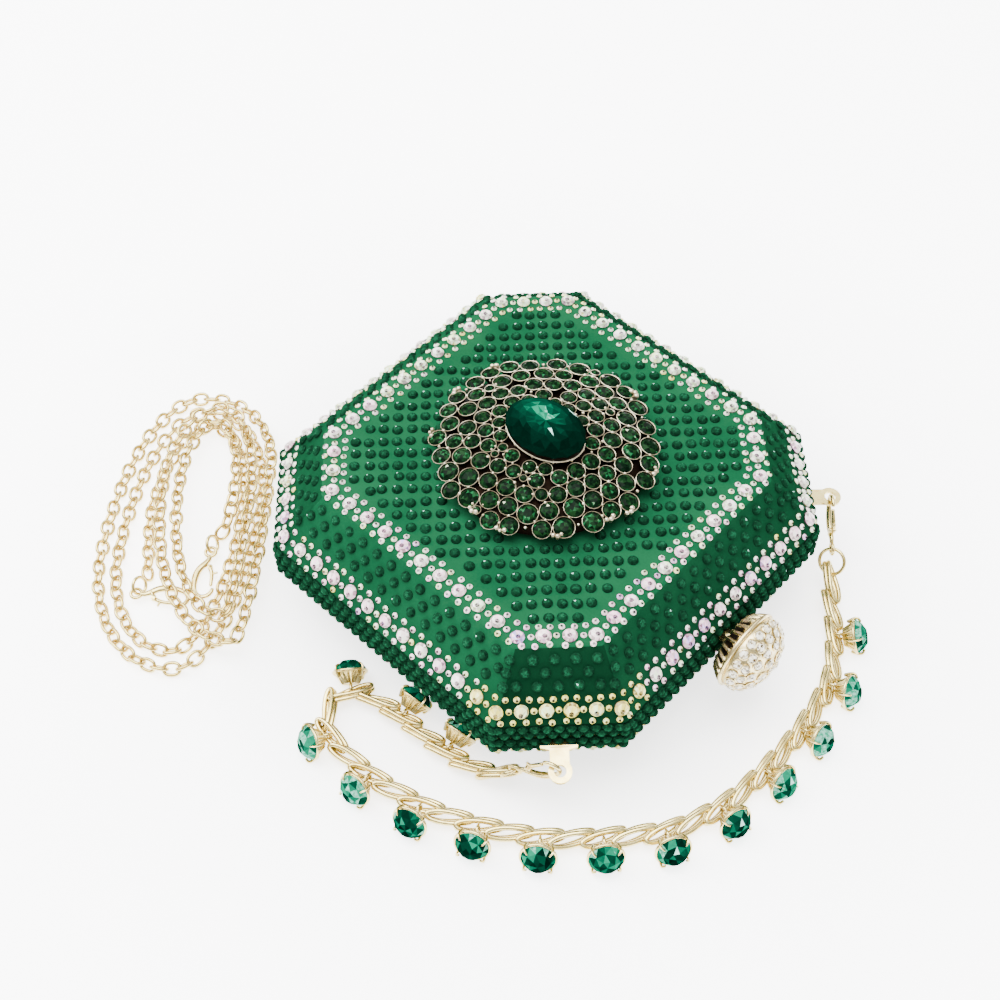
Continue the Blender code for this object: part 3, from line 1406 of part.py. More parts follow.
def report_gap(points, radius):
    """Print the tube's length and its least gap to itself, between stretches well apart."""
    walked = [0.0]
    for start, end in zip(points, points[1:]):
        walked.append(walked[-1] + (end - start).length)
    apart = 10 * radius
    least = min(
        (a - b).length
        for i, a in enumerate(points)
        for j, b in enumerate(points)
        if walked[j] - walked[i] > apart
    )
    print(f"shoulder chain {walked[-1] * 1000:.0f} mm, least gap {(least - 2 * radius) * 1000:.2f} mm")


def shoulder_chain():
    """The long chain as one unbroken tube in its loops."""
    route = heap_route()
    report_gap(route, CHAIN_RADIUS)
    curve = bpy.data.curves.new("shoulder_chain", "CURVE")
    curve.dimensions = "3D"
    curve.bevel_depth = CHAIN_RADIUS
    curve.bevel_resolution = 1
    curve.use_fill_caps = True
    spline = curve.splines.new("POLY")
    spline.points.add(len(route) - 1)
    for place, point in zip(spline.points, route):
        place.co = (*point, 1.0)
    curve.materials.append(material_of("shoulder_chain", PALE_GOLD))
    obj = bpy.data.objects.new("shoulder_chain", curve)
    bpy.context.scene.collection.objects.link(obj)
    return obj


def build_half(prefix, lid, notch):
    """All the layers of one half of the case."""
    pieces = {
        "shell": shell(f"{prefix}_shell", lid),
        "lining": lining(f"{prefix}_lining", lid),
        "frame": frame(f"{prefix}_frame", lid),
        "panel": panel_rows(f"{prefix}_panel_crystals") if lid else panel_back(f"{prefix}_panel_crystals"),
        "inner": inner_border(f"{prefix}_inner_border", lid),
        "bevel": bevel_crystals(f"{prefix}_bevel_crystals", lid),
        "outer": outer_border(f"{prefix}_outer_border", lid),
        "wall": wall_crystals(f"{prefix}_wall_crystals", lid),
    }
    for key in ("shell", "frame", "wall"):
        boolean(pieces[key], notch, "DIFFERENCE")
    return pieces


def build_knob():
    """The knob's three pieces under an empty on its axis."""
    axis_x = STONE_FACE + KNOB_STANDOFF
    slide = empty("knob_slide", Vector((axis_x, 0, SEAM)))
    for piece in (knob_cap(axis_x), knob_dome(axis_x), knob_shaft(axis_x)):
        place_on_root(piece, slide)


def empty(name, place):
    """An empty that marks a joint's axis."""
    marker = bpy.data.objects.new(name, None)
    marker.location = place
    bpy.context.scene.collection.objects.link(marker)
    bpy.context.view_layer.update()
    return marker


def build_claw(prefix, matrix):
    """A clasp and its trigger, the trigger under an empty on its pivot."""
    claw(f"{prefix}_claw", matrix)
    pivot = empty(f"{prefix}_trigger_pivot", matrix @ Vector((*LEVER_PIVOT, 0)))
    place_on_root(claw_lever(f"{prefix}_claw_lever", matrix), pivot)
    axis = matrix.to_3x3() @ Vector((0, 0, 1))
    print(prefix, "trigger pivot", [round(c, 6) for c in pivot.location], "axis", [round(c, 6) for c in axis])


def hung_claw(prefix, eye, aims, ring_radius, turn):
    """A clasp hanging in a lug's eye with a ring through its tail, and the ring's far point."""
    claw_aim, ring_aim = (beside_case(aim) for aim in aims)
    way = (claw_aim - eye).normalized()
    level = Vector((way.x, way.y, 0)).normalized()
    head = eye + level * (LUG_HOLE_RADIUS - CLAW_HEAD_WIRE - LAYER_GAP) + Vector((0, 0, CLAW_LIFT))
    matrix = claw_place(head + way * CLAW_REACH, head, Vector((0, 0, 1)))
    build_claw(prefix, matrix)
    centre, normal = ring_past_eye(matrix, ring_aim, ring_radius, turn)
    jump_ring(f"{prefix}_ring", centre, normal, ring_radius)
    return 2 * centre - matrix.translation


def build_strap():
    """The strap with its drops, clasps and rings."""
    front_eye = lug_eye(-1, FRONT_LUG_DROOP)
    right_eye = lug_eye(1, RIGHT_LUG_DROOP)
    front_aims, right_aims = (FRONT_CLAW_AIM, FRONT_RING_AIM), (RIGHT_CLAW_AIM, RIGHT_RING_AIM)
    front_far = hung_claw("front", front_eye, front_aims, SMALL_RING_RADIUS, FRONT_RING_TURN)
    right_far = hung_claw("right", right_eye, right_aims, LARGE_RING_RADIUS, RIGHT_RING_TURN)
    places = link_places(front_far, right_far)
    strap_chain(places)
    for i, (centre, _, outward) in enumerate(drop_places(places)):
        drop_stone(f"drop_stone_{i + 1:02d}", centre, outward)


def flat_claw(prefix, ends, chain_end, hand):
    """A clasp lying flat on the table, with a leaning ring from its eye towards the chain."""
    (tail_u, tail_v), (head_u, head_v) = ends
    tail = heap_point(tail_u, tail_v, CLAW_TAIL_LAYER)
    way = (heap_point(head_u, head_v, CLAW_HEAD_LAYER) - tail).normalized()
    side = hand * way.cross(Vector((0, 0, 1)))
    build_claw(prefix, claw_place(tail, tail + way * CLAW_REACH, side))
    along = Vector((chain_end.x - tail.x, chain_end.y - tail.y, 0)).normalized()
    up = Vector((0, 0, 1))
    lean = math.radians(RING_LEAN)
    normal = along.cross(up) * math.cos(lean) + up * math.sin(lean)
    rise = (RING_LAYER - CLAW_TAIL_LAYER) / math.cos(lean)
    centre = tail + along * math.sqrt(SMALL_RING_RADIUS**2 - rise**2) + normal.cross(along) * rise
    jump_ring(f"{prefix}_ring", centre, normal, SMALL_RING_RADIUS)


def build_shoulder_chain():
    """The long chain with a ring and a clasp at each end."""
    shoulder_chain()
    route = heap_route()
    flat_claw("chain_first", FIRST_CHAIN_CLAW, route[0], 1)
    flat_claw("chain_second", SECOND_CHAIN_CLAW, route[-1], -1)


def build_brooch():
    """The brooch on the lid's panel."""
    lid_top = CASE_THICKNESS + LAYER_GAP
    return brooch_base(lid_top), brooch_bezel(lid_top), centre_stone(lid_top)


def main():
    clear_scene()
    notch = knob_notch()
    back = build_half("back", False, notch)
    lid = build_half("lid", True, notch)
    for side in (-1, 1):
        slot = lug_slot(side)
        boolean(back["shell"], slot, "DIFFERENCE")
        boolean(back["wall"], slot, "DIFFERENCE")
    lug("front_lug", -1, FRONT_LUG_DROOP)
    lug("right_lug", 1, RIGHT_LUG_DROOP)
    hinge_pin()
    hinge = empty("lid_hinge", Vector((HINGE_X, 0, SEAM)))
    for piece in (*lid.values(), strike_plate(), *build_brooch()):
        place_on_root(piece, hinge)
    latch_bracket()
    latch_pin()
    pivot_x, pivot_z = latch_pivot()
    latch = empty("latch_pivot", Vector((pivot_x, 0, pivot_z)))
    place_on_root(latch_lever(), latch)
    latch_spring()
    build_knob()
    build_strap()
    build_shoulder_chain()


main()
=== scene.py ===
"""A rhinestone box clutch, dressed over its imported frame.

The case is covered in emerald satin and set with rows of cut stones. A brooch sits on the
lid, a wrist strap with stone drops hangs between two lugs, and a long shoulder chain lies
beside the case. Lengths are in metres.
"""

import logging
import math
from collections.abc import Sequence
from dataclasses import dataclass, field
from enum import Enum

import bpy
import numpy as np
from mathutils import Matrix, Vector


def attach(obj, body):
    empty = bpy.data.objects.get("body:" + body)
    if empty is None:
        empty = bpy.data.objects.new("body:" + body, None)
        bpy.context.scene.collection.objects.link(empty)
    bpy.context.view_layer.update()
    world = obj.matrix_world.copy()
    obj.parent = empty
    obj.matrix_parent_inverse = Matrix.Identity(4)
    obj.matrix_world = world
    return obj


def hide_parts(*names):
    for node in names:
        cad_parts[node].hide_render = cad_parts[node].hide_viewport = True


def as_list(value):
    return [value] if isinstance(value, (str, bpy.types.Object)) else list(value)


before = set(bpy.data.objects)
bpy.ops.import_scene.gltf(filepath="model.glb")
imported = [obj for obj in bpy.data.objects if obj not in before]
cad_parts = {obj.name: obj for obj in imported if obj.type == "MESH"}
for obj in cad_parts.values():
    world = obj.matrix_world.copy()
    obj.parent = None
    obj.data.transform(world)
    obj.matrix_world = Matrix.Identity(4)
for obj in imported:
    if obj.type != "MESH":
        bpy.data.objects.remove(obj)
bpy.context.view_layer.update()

LOG = logging.getLogger("clutch")
MM = 0.001


class Slot(Enum):
    """The record's finishes that a new piece may take."""

    LINING = "lining_cloth"
    GREEN = "green_stones"
    CLEAR = "clear_stones"
    KNOB = "knob_stones"
    EMERALD = "emerald_glass"
    GOLD = "pale_gold"
    ANTIQUE = "antique_gold"


class Value:
    """A shader socket that adds Math nodes when it is used in arithmetic."""

    def __init__(self, paint: "Paint", socket: bpy.types.NodeSocket) -> None:
        """Keep the paint that the socket belongs to."""
        self.paint = paint
        self.socket = socket

    def _math(self, operation: str, *terms: "Value | float") -> "Value":
        """Add one Math node over these terms."""
        return self.paint.node("ShaderNodeMath", {"operation": operation}, dict(enumerate(terms)))

    def __add__(self, other: "Value | float") -> "Value":
        """Add."""
        return self._math("ADD", self, other)

    __radd__ = __add__

    def __sub__(self, other: "Value | float") -> "Value":
        """Subtract."""
        return self._math("SUBTRACT", self, other)

    def __rsub__(self, other: "Value | float") -> "Value":
        """Subtract this from a number."""
        return self._math("SUBTRACT", other, self)

    def __mul__(self, other: "Value | float") -> "Value":
        """Multiply."""
        return self._math("MULTIPLY", self, other)

    __rmul__ = __mul__

    def above(self, level: float) -> "Value":
        """One where this is over a level, else nought."""
        return self._math("GREATER_THAN", self, level)

    def clamped(self) -> "Value":
        """Held between nought and one."""
        return self._math("MINIMUM", self._math("MAXIMUM", self, 0.0), 1.0)


Colour = tuple[float, float, float]


def rgba(colour: Colour) -> tuple[float, float, float, float]:
    """A colour with full alpha."""
    return (*colour, 1.0)


class Paint:
    """A material while its nodes are being joined."""

    def __init__(self, name: str) -> None:
        """Start an empty material.

        Args:
            name: its name.
        """
        self.material = bpy.data.materials.new(name)
        self.material.use_nodes = True
        self.tree = self.material.node_tree
        self.tree.nodes.clear()

    @classmethod
    def over(cls, tree: bpy.types.NodeTree) -> "Paint":
        """Start on a tree that exists.

        Args:
            tree: the tree, which is emptied.

        Returns:
            The paint over it.
        """
        paint = cls.__new__(cls)
        paint.material, paint.tree = None, tree
        tree.nodes.clear()
        return paint

    def node(
        self,
        kind: str,
        settings: dict[str, object] | None = None,
        inputs: dict[int | str, object] | None = None,
        output: int | str | None = 0,
    ) -> Value | None:
        """Add one node.

        Args:
            kind: the node's type name.
            settings: properties set first; "stops" fills a colour ramp.
            inputs: values or links by socket index, identifier or name.
            output: the socket that is wanted, or None for an end node.

        Returns:
            The wanted output.
        """
        made = self.tree.nodes.new(kind)
        for key, value in (settings or {}).items():
            if key == "stops":
                self._fill_ramp(made.color_ramp, value)
            else:
                setattr(made, key, value)
        for key, value in (inputs or {}).items():
            self._feed(self._socket(made.inputs, key), value)
        return None if output is None else Value(self, self._socket(made.outputs, output))

    def _socket(self, sockets: bpy.types.bpy_prop_collection, key: int | str) -> bpy.types.NodeSocket:
        """Find a socket.

        Args:
            sockets: a node's inputs or outputs.
            key: its index, identifier or name.

        Returns:
            The socket.
        """
        if isinstance(key, int):
            return sockets[key]
        for socket in sockets:
            if socket.identifier == key:
                return socket
        return sockets[key]

    def _feed(self, socket: bpy.types.NodeSocket, value: object) -> None:
        """Give a socket what it takes.

        Args:
            socket: the input.
            value: a Value to link, or a constant to set.
        """
        if isinstance(value, Value):
            self.tree.links.new(value.socket, socket)
        elif isinstance(value, tuple) and len(value) == 3 and socket.type == "RGBA":
            socket.default_value = rgba(value)
        else:
            socket.default_value = value

    def _fill_ramp(self, ramp: bpy.types.ColorRamp, stops: Sequence[tuple[float, Colour]]) -> None:
        """Set a ramp's stops.

        Args:
            ramp: the ramp.
            stops: pairs of place and colour.
        """
        while len(ramp.elements) > 1:
            ramp.elements.remove(ramp.elements[-1])
        ramp.elements[0].position = stops[0][0]
        ramp.elements[0].color = rgba(stops[0][1])
        for position, colour in stops[1:]:
            ramp.elements.new(position).color = rgba(colour)

    def place(self) -> Value:
        """The point on the object, in metres."""
        return self.node("ShaderNodeTexCoord", output="Object")

    def noise(self, scale: float, detail: float = 3.0, rough: float = 0.5) -> Value:
        """Cloudy noise with this many features a metre."""
        inputs = {"Vector": self.place(), "Scale": scale, "Detail": detail, "Roughness": rough}
        return self.node("ShaderNodeTexNoise", None, inputs, "Fac")

    def mix(self, factor: Value | float, first: object, second: object, blend: str = "MIX") -> Value:
        """Blend two colours.

        Args:
            factor: the share of the second.
            first: the first colour.
            second: the second colour.
            blend: how they are blended.

        Returns:
            The blended colour.
        """
        inputs = {"Factor_Float": factor, "A_Color": first, "B_Color": second}
        settings = {"data_type": "RGBA", "blend_type": blend}
        return self.node("ShaderNodeMix", settings, inputs, "Result_Color")

    def ramp(self, value: Value, stops: Sequence[tuple[float, Colour]]) -> Value:
        """Colours along a value."""
        return self.node("ShaderNodeValToRGB", {"stops": stops}, {"Fac": value}, "Color")

    def attribute(self, name: str) -> Value:
        """A number stored on the faces."""
        return self.node("ShaderNodeAttribute", {"attribute_name": name}, None, "Fac")

    def bump(self, height: Value, distance: float, strength: float = 1.0) -> Value:
        """A normal from a height."""
        inputs = {"Height": height, "Distance": distance, "Strength": strength}
        return self.node("ShaderNodeBump", None, inputs, "Normal")

    def close(self, **inputs: object) -> bpy.types.Material:
        """Finish with a Principled shader.

        Args:
            inputs: its sockets, with underscores for spaces.

        Returns:
            The finished material.
        """
        named = {key.replace("_", " "): value for key, value in inputs.items()}
        shader = self.node("ShaderNodeBsdfPrincipled", None, named, "BSDF")
        self.node("ShaderNodeOutputMaterial", None, {"Surface": shader}, None)
        return self.material


@dataclass(frozen=True)
class Satin:
    """Glued satin: a bright filling yarn over a deep ground, slightly puckered by the stones, darkened face
    by face by a painted shade.
    """

    name: str
    deep: Colour
    bright: Colour
    rough: float = 0.52
    yarn: float = 5200.0
    cloud: float = 38.0
    grain: float = 1500.0
    pucker: float = 420.0

    def material(self) -> bpy.types.Material:
        """Build the satin.

        Returns:
            The finished material.
        """
        p = Paint(self.name)
        cloud = p.noise(self.cloud, 2.0)
        fine = p.noise(self.grain, 2.0)
        wave_inputs = {"Vector": p.place(), "Scale": self.yarn, "Distortion": 1.5, "Detail": 1.0}
        weave = p.node("ShaderNodeTexWave", {"bands_direction": "DIAGONAL"}, wave_inputs, "Fac")
        share = (cloud * 1.1 + fine * 0.3 + weave * 0.12 - 0.35).clamped()
        # Multiplied by each face's painted shade: deeper on the bevel and wall, deepest on the sides turned
        # from the lights.
        colour = p.mix(1.0, p.mix(share, self.deep, self.bright), p.attribute("painted_light"), "MULTIPLY")
        height = p.noise(self.pucker, 1.0) + weave * 0.12
        return p.close(
            Base_Color=colour,
            Roughness=self.rough + fine * 0.12,
            Normal=p.bump(height, 0.00009, 0.5),
            Specular_IOR_Level=0.0,
        )


@dataclass(frozen=True)
class Board:
    """Moulded board: matt, faintly pebbled."""

    name: str
    colour: Colour
    grain: float = 900.0

    def material(self) -> bpy.types.Material:
        """Build the board.

        Returns:
            The finished material.
        """
        p = Paint(self.name)
        grain = p.noise(self.grain, 3.0)
        darker = tuple(c * 0.6 for c in self.colour)
        colour = p.mix(grain, darker, self.colour)
        return p.close(Base_Color=colour, Roughness=0.6 + grain * 0.2, Normal=p.bump(grain, 0.00006, 0.5))


@dataclass(frozen=True)
class Gem:
    """A cut stone: each facet's colour is its share of painted light, from the dark body to a painted flash.
    """

    name: str
    stops: tuple[tuple[float, Colour], ...]
    tints: tuple[tuple[float, Colour], ...] | None = None
    tint_share: float = 0.0
    rough: float = 0.06
    shine: float = 0.5

    def material(self) -> bpy.types.Material:
        """Build the gem.

        Returns:
            The finished material.
        """
        p = Paint(self.name)
        haze = p.noise(1200.0, 2.0) - 0.5
        # Each face's painted light picks its colour from the ramp, with a little random haze.
        colour = p.ramp((p.attribute("painted_light") + haze * 0.12).clamped(), self.stops)
        if self.tints:
            tint = p.ramp((p.attribute("tint") + haze * 0.2).clamped(), self.tints)
            colour = p.mix(self.tint_share, colour, tint, "MULTIPLY")
        rough = self.rough + p.noise(2600.0, 2.0).above(0.62) * 0.05
        return p.close(Base_Color=colour, Roughness=rough, Specular_IOR_Level=self.shine)


@dataclass(frozen=True)
class Gold:
    """Plated metal: polished, a touch darker in patches, with fine wear."""

    name: str
    bright: Colour
    dull: Colour
    rough: float = 0.14
    grain: float = 700.0
    pits: float = 0.3

    def material(self) -> bpy.types.Material:
        """Build the metal.

        Returns:
            The finished material.
        """
        p = Paint(self.name)
        cloud = p.noise(260.0, 3.0, 0.6)
        fine = p.noise(self.grain * 3.0, 2.0)
        share = (cloud * 1.5 - 0.25).clamped()
        return p.close(
            Base_Color=p.mix(share, self.dull, self.bright),
            Metallic=1.0,
            Roughness=self.rough + (1.0 - share) * 0.12 + fine * 0.05,
            Normal=p.bump(cloud * 0.6 + fine * 0.4, 0.00003, self.pits),
        )


class Finishes:
    """Every material of the bag, built once."""

    def __init__(self) -> None:
        """Build them all."""
        self.satin = Satin("emerald_satin", (0.0040, 0.042, 0.0165), (0.0112, 0.089, 0.0365)).material()
        lining = Satin("lining_satin", (0.001, 0.026, 0.012), (0.003, 0.050, 0.024), 0.6, 3800.0)
        self.lining = lining.material()
        self.board = Board("covered_board", (0.012, 0.030, 0.020)).material()
        # Green stones: a dark body, painted facet light and a painted glint at the top stop; no gloss of
        # their own.
        self.green = Gem(
            "green_stones",
            (
                (0.0, (0.0018, 0.0110, 0.0055)),
                (0.45, (0.0042, 0.0290, 0.0130)),
                (0.80, (0.0090, 0.0720, 0.0320)),
                (0.95, (0.0180, 0.1400, 0.0700)),
                (1.0, (0.34, 0.60, 0.50)),
            ),
            rough=0.12,
            shine=0.0,
        ).material()
        # Brooch glass: dark body, painted facet light and a painted glint at the top stop, with little gloss.
        self.deep = Gem(
            "brooch_glass",
            (
                (0.0, (0.0006, 0.0030, 0.0012)),
                (0.45, (0.0014, 0.0085, 0.0030)),
                (0.80, (0.0055, 0.0260, 0.0070)),
                (0.95, (0.0090, 0.1000, 0.0330)),
                (1.0, (0.55, 0.60, 0.42)),
            ),
            rough=0.08,
            shine=0.02,
        ).material()
        # Aurora stones: painted facet light from a dark girdle to a white painted glint, over real gloss,
        # tinted by the coating.
        self.aurora = Gem(
            "aurora_stones",
            (
                (0.0, (0.010, 0.018, 0.012)),
                (0.22, (0.13, 0.085, 0.12)),
                (0.50, (0.40, 0.36, 0.36)),
                (0.80, (0.80, 0.80, 0.76)),
                (1.0, (1.0, 1.0, 1.0)),
            ),
            (
                (0.0, (0.52, 0.40, 1.0)),
                (0.16, (1.0, 0.50, 0.74)),
                (0.34, (1.0, 0.80, 0.80)),
                (0.52, (1.0, 1.0, 0.93)),
                (0.68, (0.74, 1.0, 0.56)),
                (0.84, (0.95, 0.86, 0.26)),
                (1.0, (0.80, 0.68, 0.04)),
            ),
            0.9,
            shine=0.5,
        ).material()
        # Emerald glass: painted facet light and a painted glint, with no gloss of its own.
        self.emerald = Gem(
            "emerald_glass",
            (
                (0.0, (0.0001, 0.0040, 0.0022)),
                (0.35, (0.0002, 0.0130, 0.0070)),
                (0.65, (0.0003, 0.0380, 0.0190)),
                (0.92, (0.0030, 0.1900, 0.1000)),
                (1.0, (0.40, 0.74, 0.62)),
            ),
            rough=0.03,
            shine=0.0,
        ).material()
        # Knob crystals: painted reflections of the gold round them, from brown to a cream painted glint.
        self.crystal = Gem(
            "knob_crystals",
            (
                (0.0, (0.020, 0.010, 0.004)),
                (0.30, (0.14, 0.09, 0.035)),
                (0.65, (0.66, 0.58, 0.38)),
                (1.0, (1.0, 0.98, 0.86)),
            ),
            shine=0.6,
        ).material()
        self.gold = Gold("pale_gold", (0.82, 0.69, 0.30), (0.42, 0.31, 0.09)).material()
        self.chain_gold = Gold("chain_gold", (0.76, 0.61, 0.23), (0.40, 0.27, 0.065), 0.16).material()
        antique = Gold("antique_gold", (0.98, 0.89, 0.66), (0.24, 0.17, 0.08), 0.26, 900.0, 0.5)
        self.antique = antique.material()
        # Near-black metal standing for painted shade: the brooch plate, the centre bezel and the inside of
        # the knob's folds.
        self.shadow = Gold("painted_shade_metal", (0.0110, 0.0055, 0.0035), (0.003, 0.003, 0.002), 0.5).material()
        self.cream = Gold("cream_gold", (0.88, 0.76, 0.42), (0.42, 0.31, 0.12), 0.18).material()
        self.steel = Gold("bright_steel", (0.55, 0.55, 0.55), (0.36, 0.36, 0.37), 0.24).material()


class Stack:
    """Points, faces and each face's share of painted light, gathered into one object."""

    def __init__(self) -> None:
        """Start empty."""
        self.points: list[np.ndarray] = []
        self.faces: list[tuple[int, ...]] = []
        self.painted_lights: list[float] = []
        self.tints: list[float] = []
        self.size = 0

    def add(
        self,
        points: np.ndarray,
        faces: Sequence[tuple[int, ...]],
        painted_lights: Sequence[float] | float = 0.5,
        tints: Sequence[float] | float = 0.5,
    ) -> None:
        """Add one closed form.

        Args:
            points: its points, one row each.
            faces: its faces, counted from its own first point.
            painted_lights: each face's share of painted light, one for all or one for each face.
            tints: one tint for all, or one for each face.
        """
        start = self.size
        self.points.append(np.asarray(points, float))
        self.faces += [tuple(i + start for i in face) for face in faces]
        self.painted_lights += np.broadcast_to(painted_lights, len(faces)).tolist()
        self.tints += np.broadcast_to(tints, len(faces)).tolist()
        self.size += len(points)

    def build(
        self,
        name: str,
        material: bpy.types.Material,
        body: str,
        slot: Slot,
        smooth: float | None = None,
        replaces: Sequence[str] = (),
    ) -> bpy.types.Object:
        """Make the object.

        Args:
            name: the piece's name.
            material: its finish.
            body: the body that it rides on.
            slot: the record's finish; not used.
            smooth: the sharpest angle in degrees that is shaded smooth, or None for facets.
            replaces: the nodes that it stands for.

        Returns:
            The new object.
        """
        mesh = bpy.data.meshes.new(name)
        mesh.from_pydata(np.concatenate(self.points).tolist(), [], self.faces)
        # Each face's painted light: painted shade on the satin and lining, painted reflections and glints on
        # the stones.
        mesh.attributes.new("painted_light", "FLOAT", "FACE").data.foreach_set("value", self.painted_lights)
        mesh.attributes.new("tint", "FLOAT", "FACE").data.foreach_set("value", self.tints)
        mesh.materials.append(material)
        if smooth is not None:
            mesh.shade_smooth()
            mesh.set_sharp_from_angle(angle=math.radians(smooth))
        piece = bpy.data.objects.new(name, mesh)
        bpy.context.scene.collection.objects.link(piece)
        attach(piece, body)
        if replaces:
            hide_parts(*replaces)
        LOG.info("%s: %d faces on %s", name, len(self.faces), body)
        return piece


def grid_faces(rows: int, columns: int, wrap_rows: bool = False) -> list[tuple[int, ...]]:
    """Quads between rings of points.

    Args:
        rows: how many rings.
        columns: how many points in each.
        wrap_rows: whether the last ring joins the first.

    Returns:
        The quads.
    """
    faces = []
    for i in range(rows if wrap_rows else rows - 1):
        for j in range(columns):
            here, below, ahead = i * columns, (i + 1) % rows * columns, (j + 1) % columns
            faces.append((here + j, here + ahead, below + ahead, below + j))
    return faces


def end_face(ring: int, sides: int) -> tuple[int, ...]:
    """The face that closes one ring of a turned or swept form."""
    return tuple(range(ring * sides, (ring + 1) * sides))


def unit(vectors: np.ndarray) -> np.ndarray:
    """Vectors at length one."""
    return vectors / np.maximum(np.linalg.norm(vectors, axis=-1, keepdims=True), 1e-12)


def around(count: int, shift: float = 0.0) -> np.ndarray:
    """Even angles round a circle, the first one this share of a step on."""
    return (np.arange(count) + shift) * 2 * math.pi / count


def cross_ways(axis: np.ndarray) -> tuple[np.ndarray, np.ndarray]:
    """Two directions square to an axis and to each other.

    Args:
        axis: the axis.

    Returns:
        A level direction where the axis isn't upright, and the one square to both.
    """
    side = np.cross(axis, (0.0, 0.0, 1.0))
    if np.linalg.norm(side) <= 0.05:
        side = np.cross(axis, (0.0, 1.0, 0.0))
    side = unit(side)
    return side, np.cross(axis, side)


def frames_along(points: np.ndarray) -> tuple[np.ndarray, np.ndarray, np.ndarray]:
    """Carry a cross-section along an open line without twist.

    Args:
        points: the line.

    Returns:
        Its direction and two cross directions at each point.
    """
    along = unit(np.gradient(points, axis=0))
    side = np.empty_like(along)
    current, _ = cross_ways(along[0])
    for i, way in enumerate(along):
        current = unit(current - way * current.dot(way))
        side[i] = current
    return along, side, np.cross(along, side)


def sweep(
    stack: Stack,
    points: np.ndarray,
    radius: float | np.ndarray,
    sides: int = 10,
    flat: float = 1.0,
    level: np.ndarray | None = None,
) -> None:
    """Add a tube with round ends along an open line.

    Args:
        stack: where it goes.
        points: its centre line.
        radius: one radius, or one for each point.
        sides: sides of its section.
        flat: its thickness along the level direction, as a share of its width.
        level: the direction that it is flattened along.
    """
    radii = np.broadcast_to(np.asarray(radius, float), (len(points),))
    along, side, up = frames_along(points)
    if level is not None:
        up = unit(level - along * (along @ level)[:, None])
        side = np.cross(up, along)
    angle = around(sides)
    caps = ((-0.75, 0.62), (-0.45, 0.88))
    rings = []
    for reach, share in caps:
        rings.append((points[0] + along[0] * reach * radii[0], side[0], up[0], radii[0] * share))
    for i, point in enumerate(points):
        rings.append((point, side[i], up[i], radii[i]))
    for reach, share in reversed(caps):
        rings.append((points[-1] - along[-1] * reach * radii[-1], side[-1], up[-1], radii[-1] * share))
    cos, sin = np.cos(angle)[:, None], np.sin(angle)[:, None]
    made = [centre + r * (cos * a + flat * sin * b) for centre, a, b, r in rings]
    faces = grid_faces(len(rings), sides)
    faces += [end_face(0, sides)[::-1], end_face(len(rings) - 1, sides)]
    stack.add(np.concatenate(made), faces)


def loop(stack: Stack, points: np.ndarray, normals: np.ndarray, radius: float, sides: int = 8) -> None:
    """Add a closed wire loop.

    Args:
        stack: where it goes.
        points: its centre line.
        normals: a normal of its plane at each point.
        radius: the wire's radius.
        sides: sides of its section.
    """
    along = unit(np.roll(points, -1, axis=0) - np.roll(points, 1, axis=0))
    normals = unit(normals - along * np.sum(normals * along, axis=1)[:, None])
    across = np.cross(along, normals)
    angle = around(sides)
    ring = (
        points[:, None, :]
        + radius * np.cos(angle)[None, :, None] * normals[:, None, :]
        + radius * np.sin(angle)[None, :, None] * across[:, None, :]
    )
    stack.add(ring.reshape(-1, 3), grid_faces(len(points), sides, wrap_rows=True))


def torus(
    stack: Stack,
    centre: np.ndarray,
    normal: np.ndarray,
    radius: float,
    wire: float,
    steps: int = 24,
    sides: int = 8,
) -> None:
    """Add a round ring.

    Args:
        stack: where it goes.
        centre: its middle.
        normal: its axis.
        radius: its middle radius.
        wire: its wire's radius.
        steps: points round it.
        sides: sides of the wire.
    """
    normal = unit(normal)
    side, up = cross_ways(normal)
    angle = around(steps)
    points = centre + radius * (np.cos(angle)[:, None] * side + np.sin(angle)[:, None] * up)
    loop(stack, points, np.tile(normal, (steps, 1)), wire, sides)


def turned(
    stack: Stack,
    profile: Sequence[tuple[float, float]],
    origin: np.ndarray,
    axis: np.ndarray,
    sides: int = 32,
    flutes: int = 0,
    depth: float = 0.0,
) -> None:
    """Turn a profile about an axis.

    Args:
        stack: where it goes.
        profile: pairs of distance along the axis and radius.
        origin: where the axis starts.
        axis: its direction.
        sides: points round it.
        flutes: how many flutes run along it.
        depth: how deep they are.
    """
    axis = unit(axis)
    side, up = cross_ways(axis)
    angle = around(sides)
    ways = np.cos(angle)[:, None] * side + np.sin(angle)[:, None] * up
    folds = depth * (0.5 - 0.5 * np.cos(flutes * angle))
    rings = [origin + axis * along + (radius - folds)[:, None] * ways for along, radius in profile]
    faces = [face[::-1] for face in grid_faces(len(profile), sides)]
    faces += [end_face(0, sides), end_face(len(profile) - 1, sides)[::-1]]
    stack.add(np.concatenate(rings), faces)


def smooth_curve(points: Sequence[Sequence[float]], spacing: float) -> np.ndarray:
    """Even points along a smooth curve through a few points.

    Args:
        points: the points that it passes.
        spacing: the step between the points returned.

    Returns:
        The even points, of which the last may lie less than a step before the end.
    """
    p = np.asarray(points, float)
    ends = np.vstack([2 * p[0] - p[1], p, 2 * p[-1] - p[-2]])
    t = (np.arange(24) / 24)[:, None]
    fine = []
    for a, b, c, d in zip(ends, ends[1:], ends[2:], ends[3:]):
        square, cube = 2 * a - 5 * b + 4 * c - d, 3 * b - a - 3 * c + d
        fine.append(0.5 * (2 * b + t * (c - a) + t**2 * square + t**3 * cube))
    line = np.vstack([*fine, p[-1:]])
    walked = np.concatenate([[0], np.cumsum(np.linalg.norm(np.diff(line, axis=0), axis=1))])
    count = int(walked[-1] / spacing + 1e-6)
    wanted = np.arange(count + 1) * spacing
    return np.stack([np.interp(wanted, walked, line[:, k]) for k in range(3)], axis=1)


# The side of every stone that faces the front; tables sit towards it and painted glints go on the side away
# from it.
LOW_SIDE = np.array([math.sqrt(0.5), -math.sqrt(0.5), 0.0])


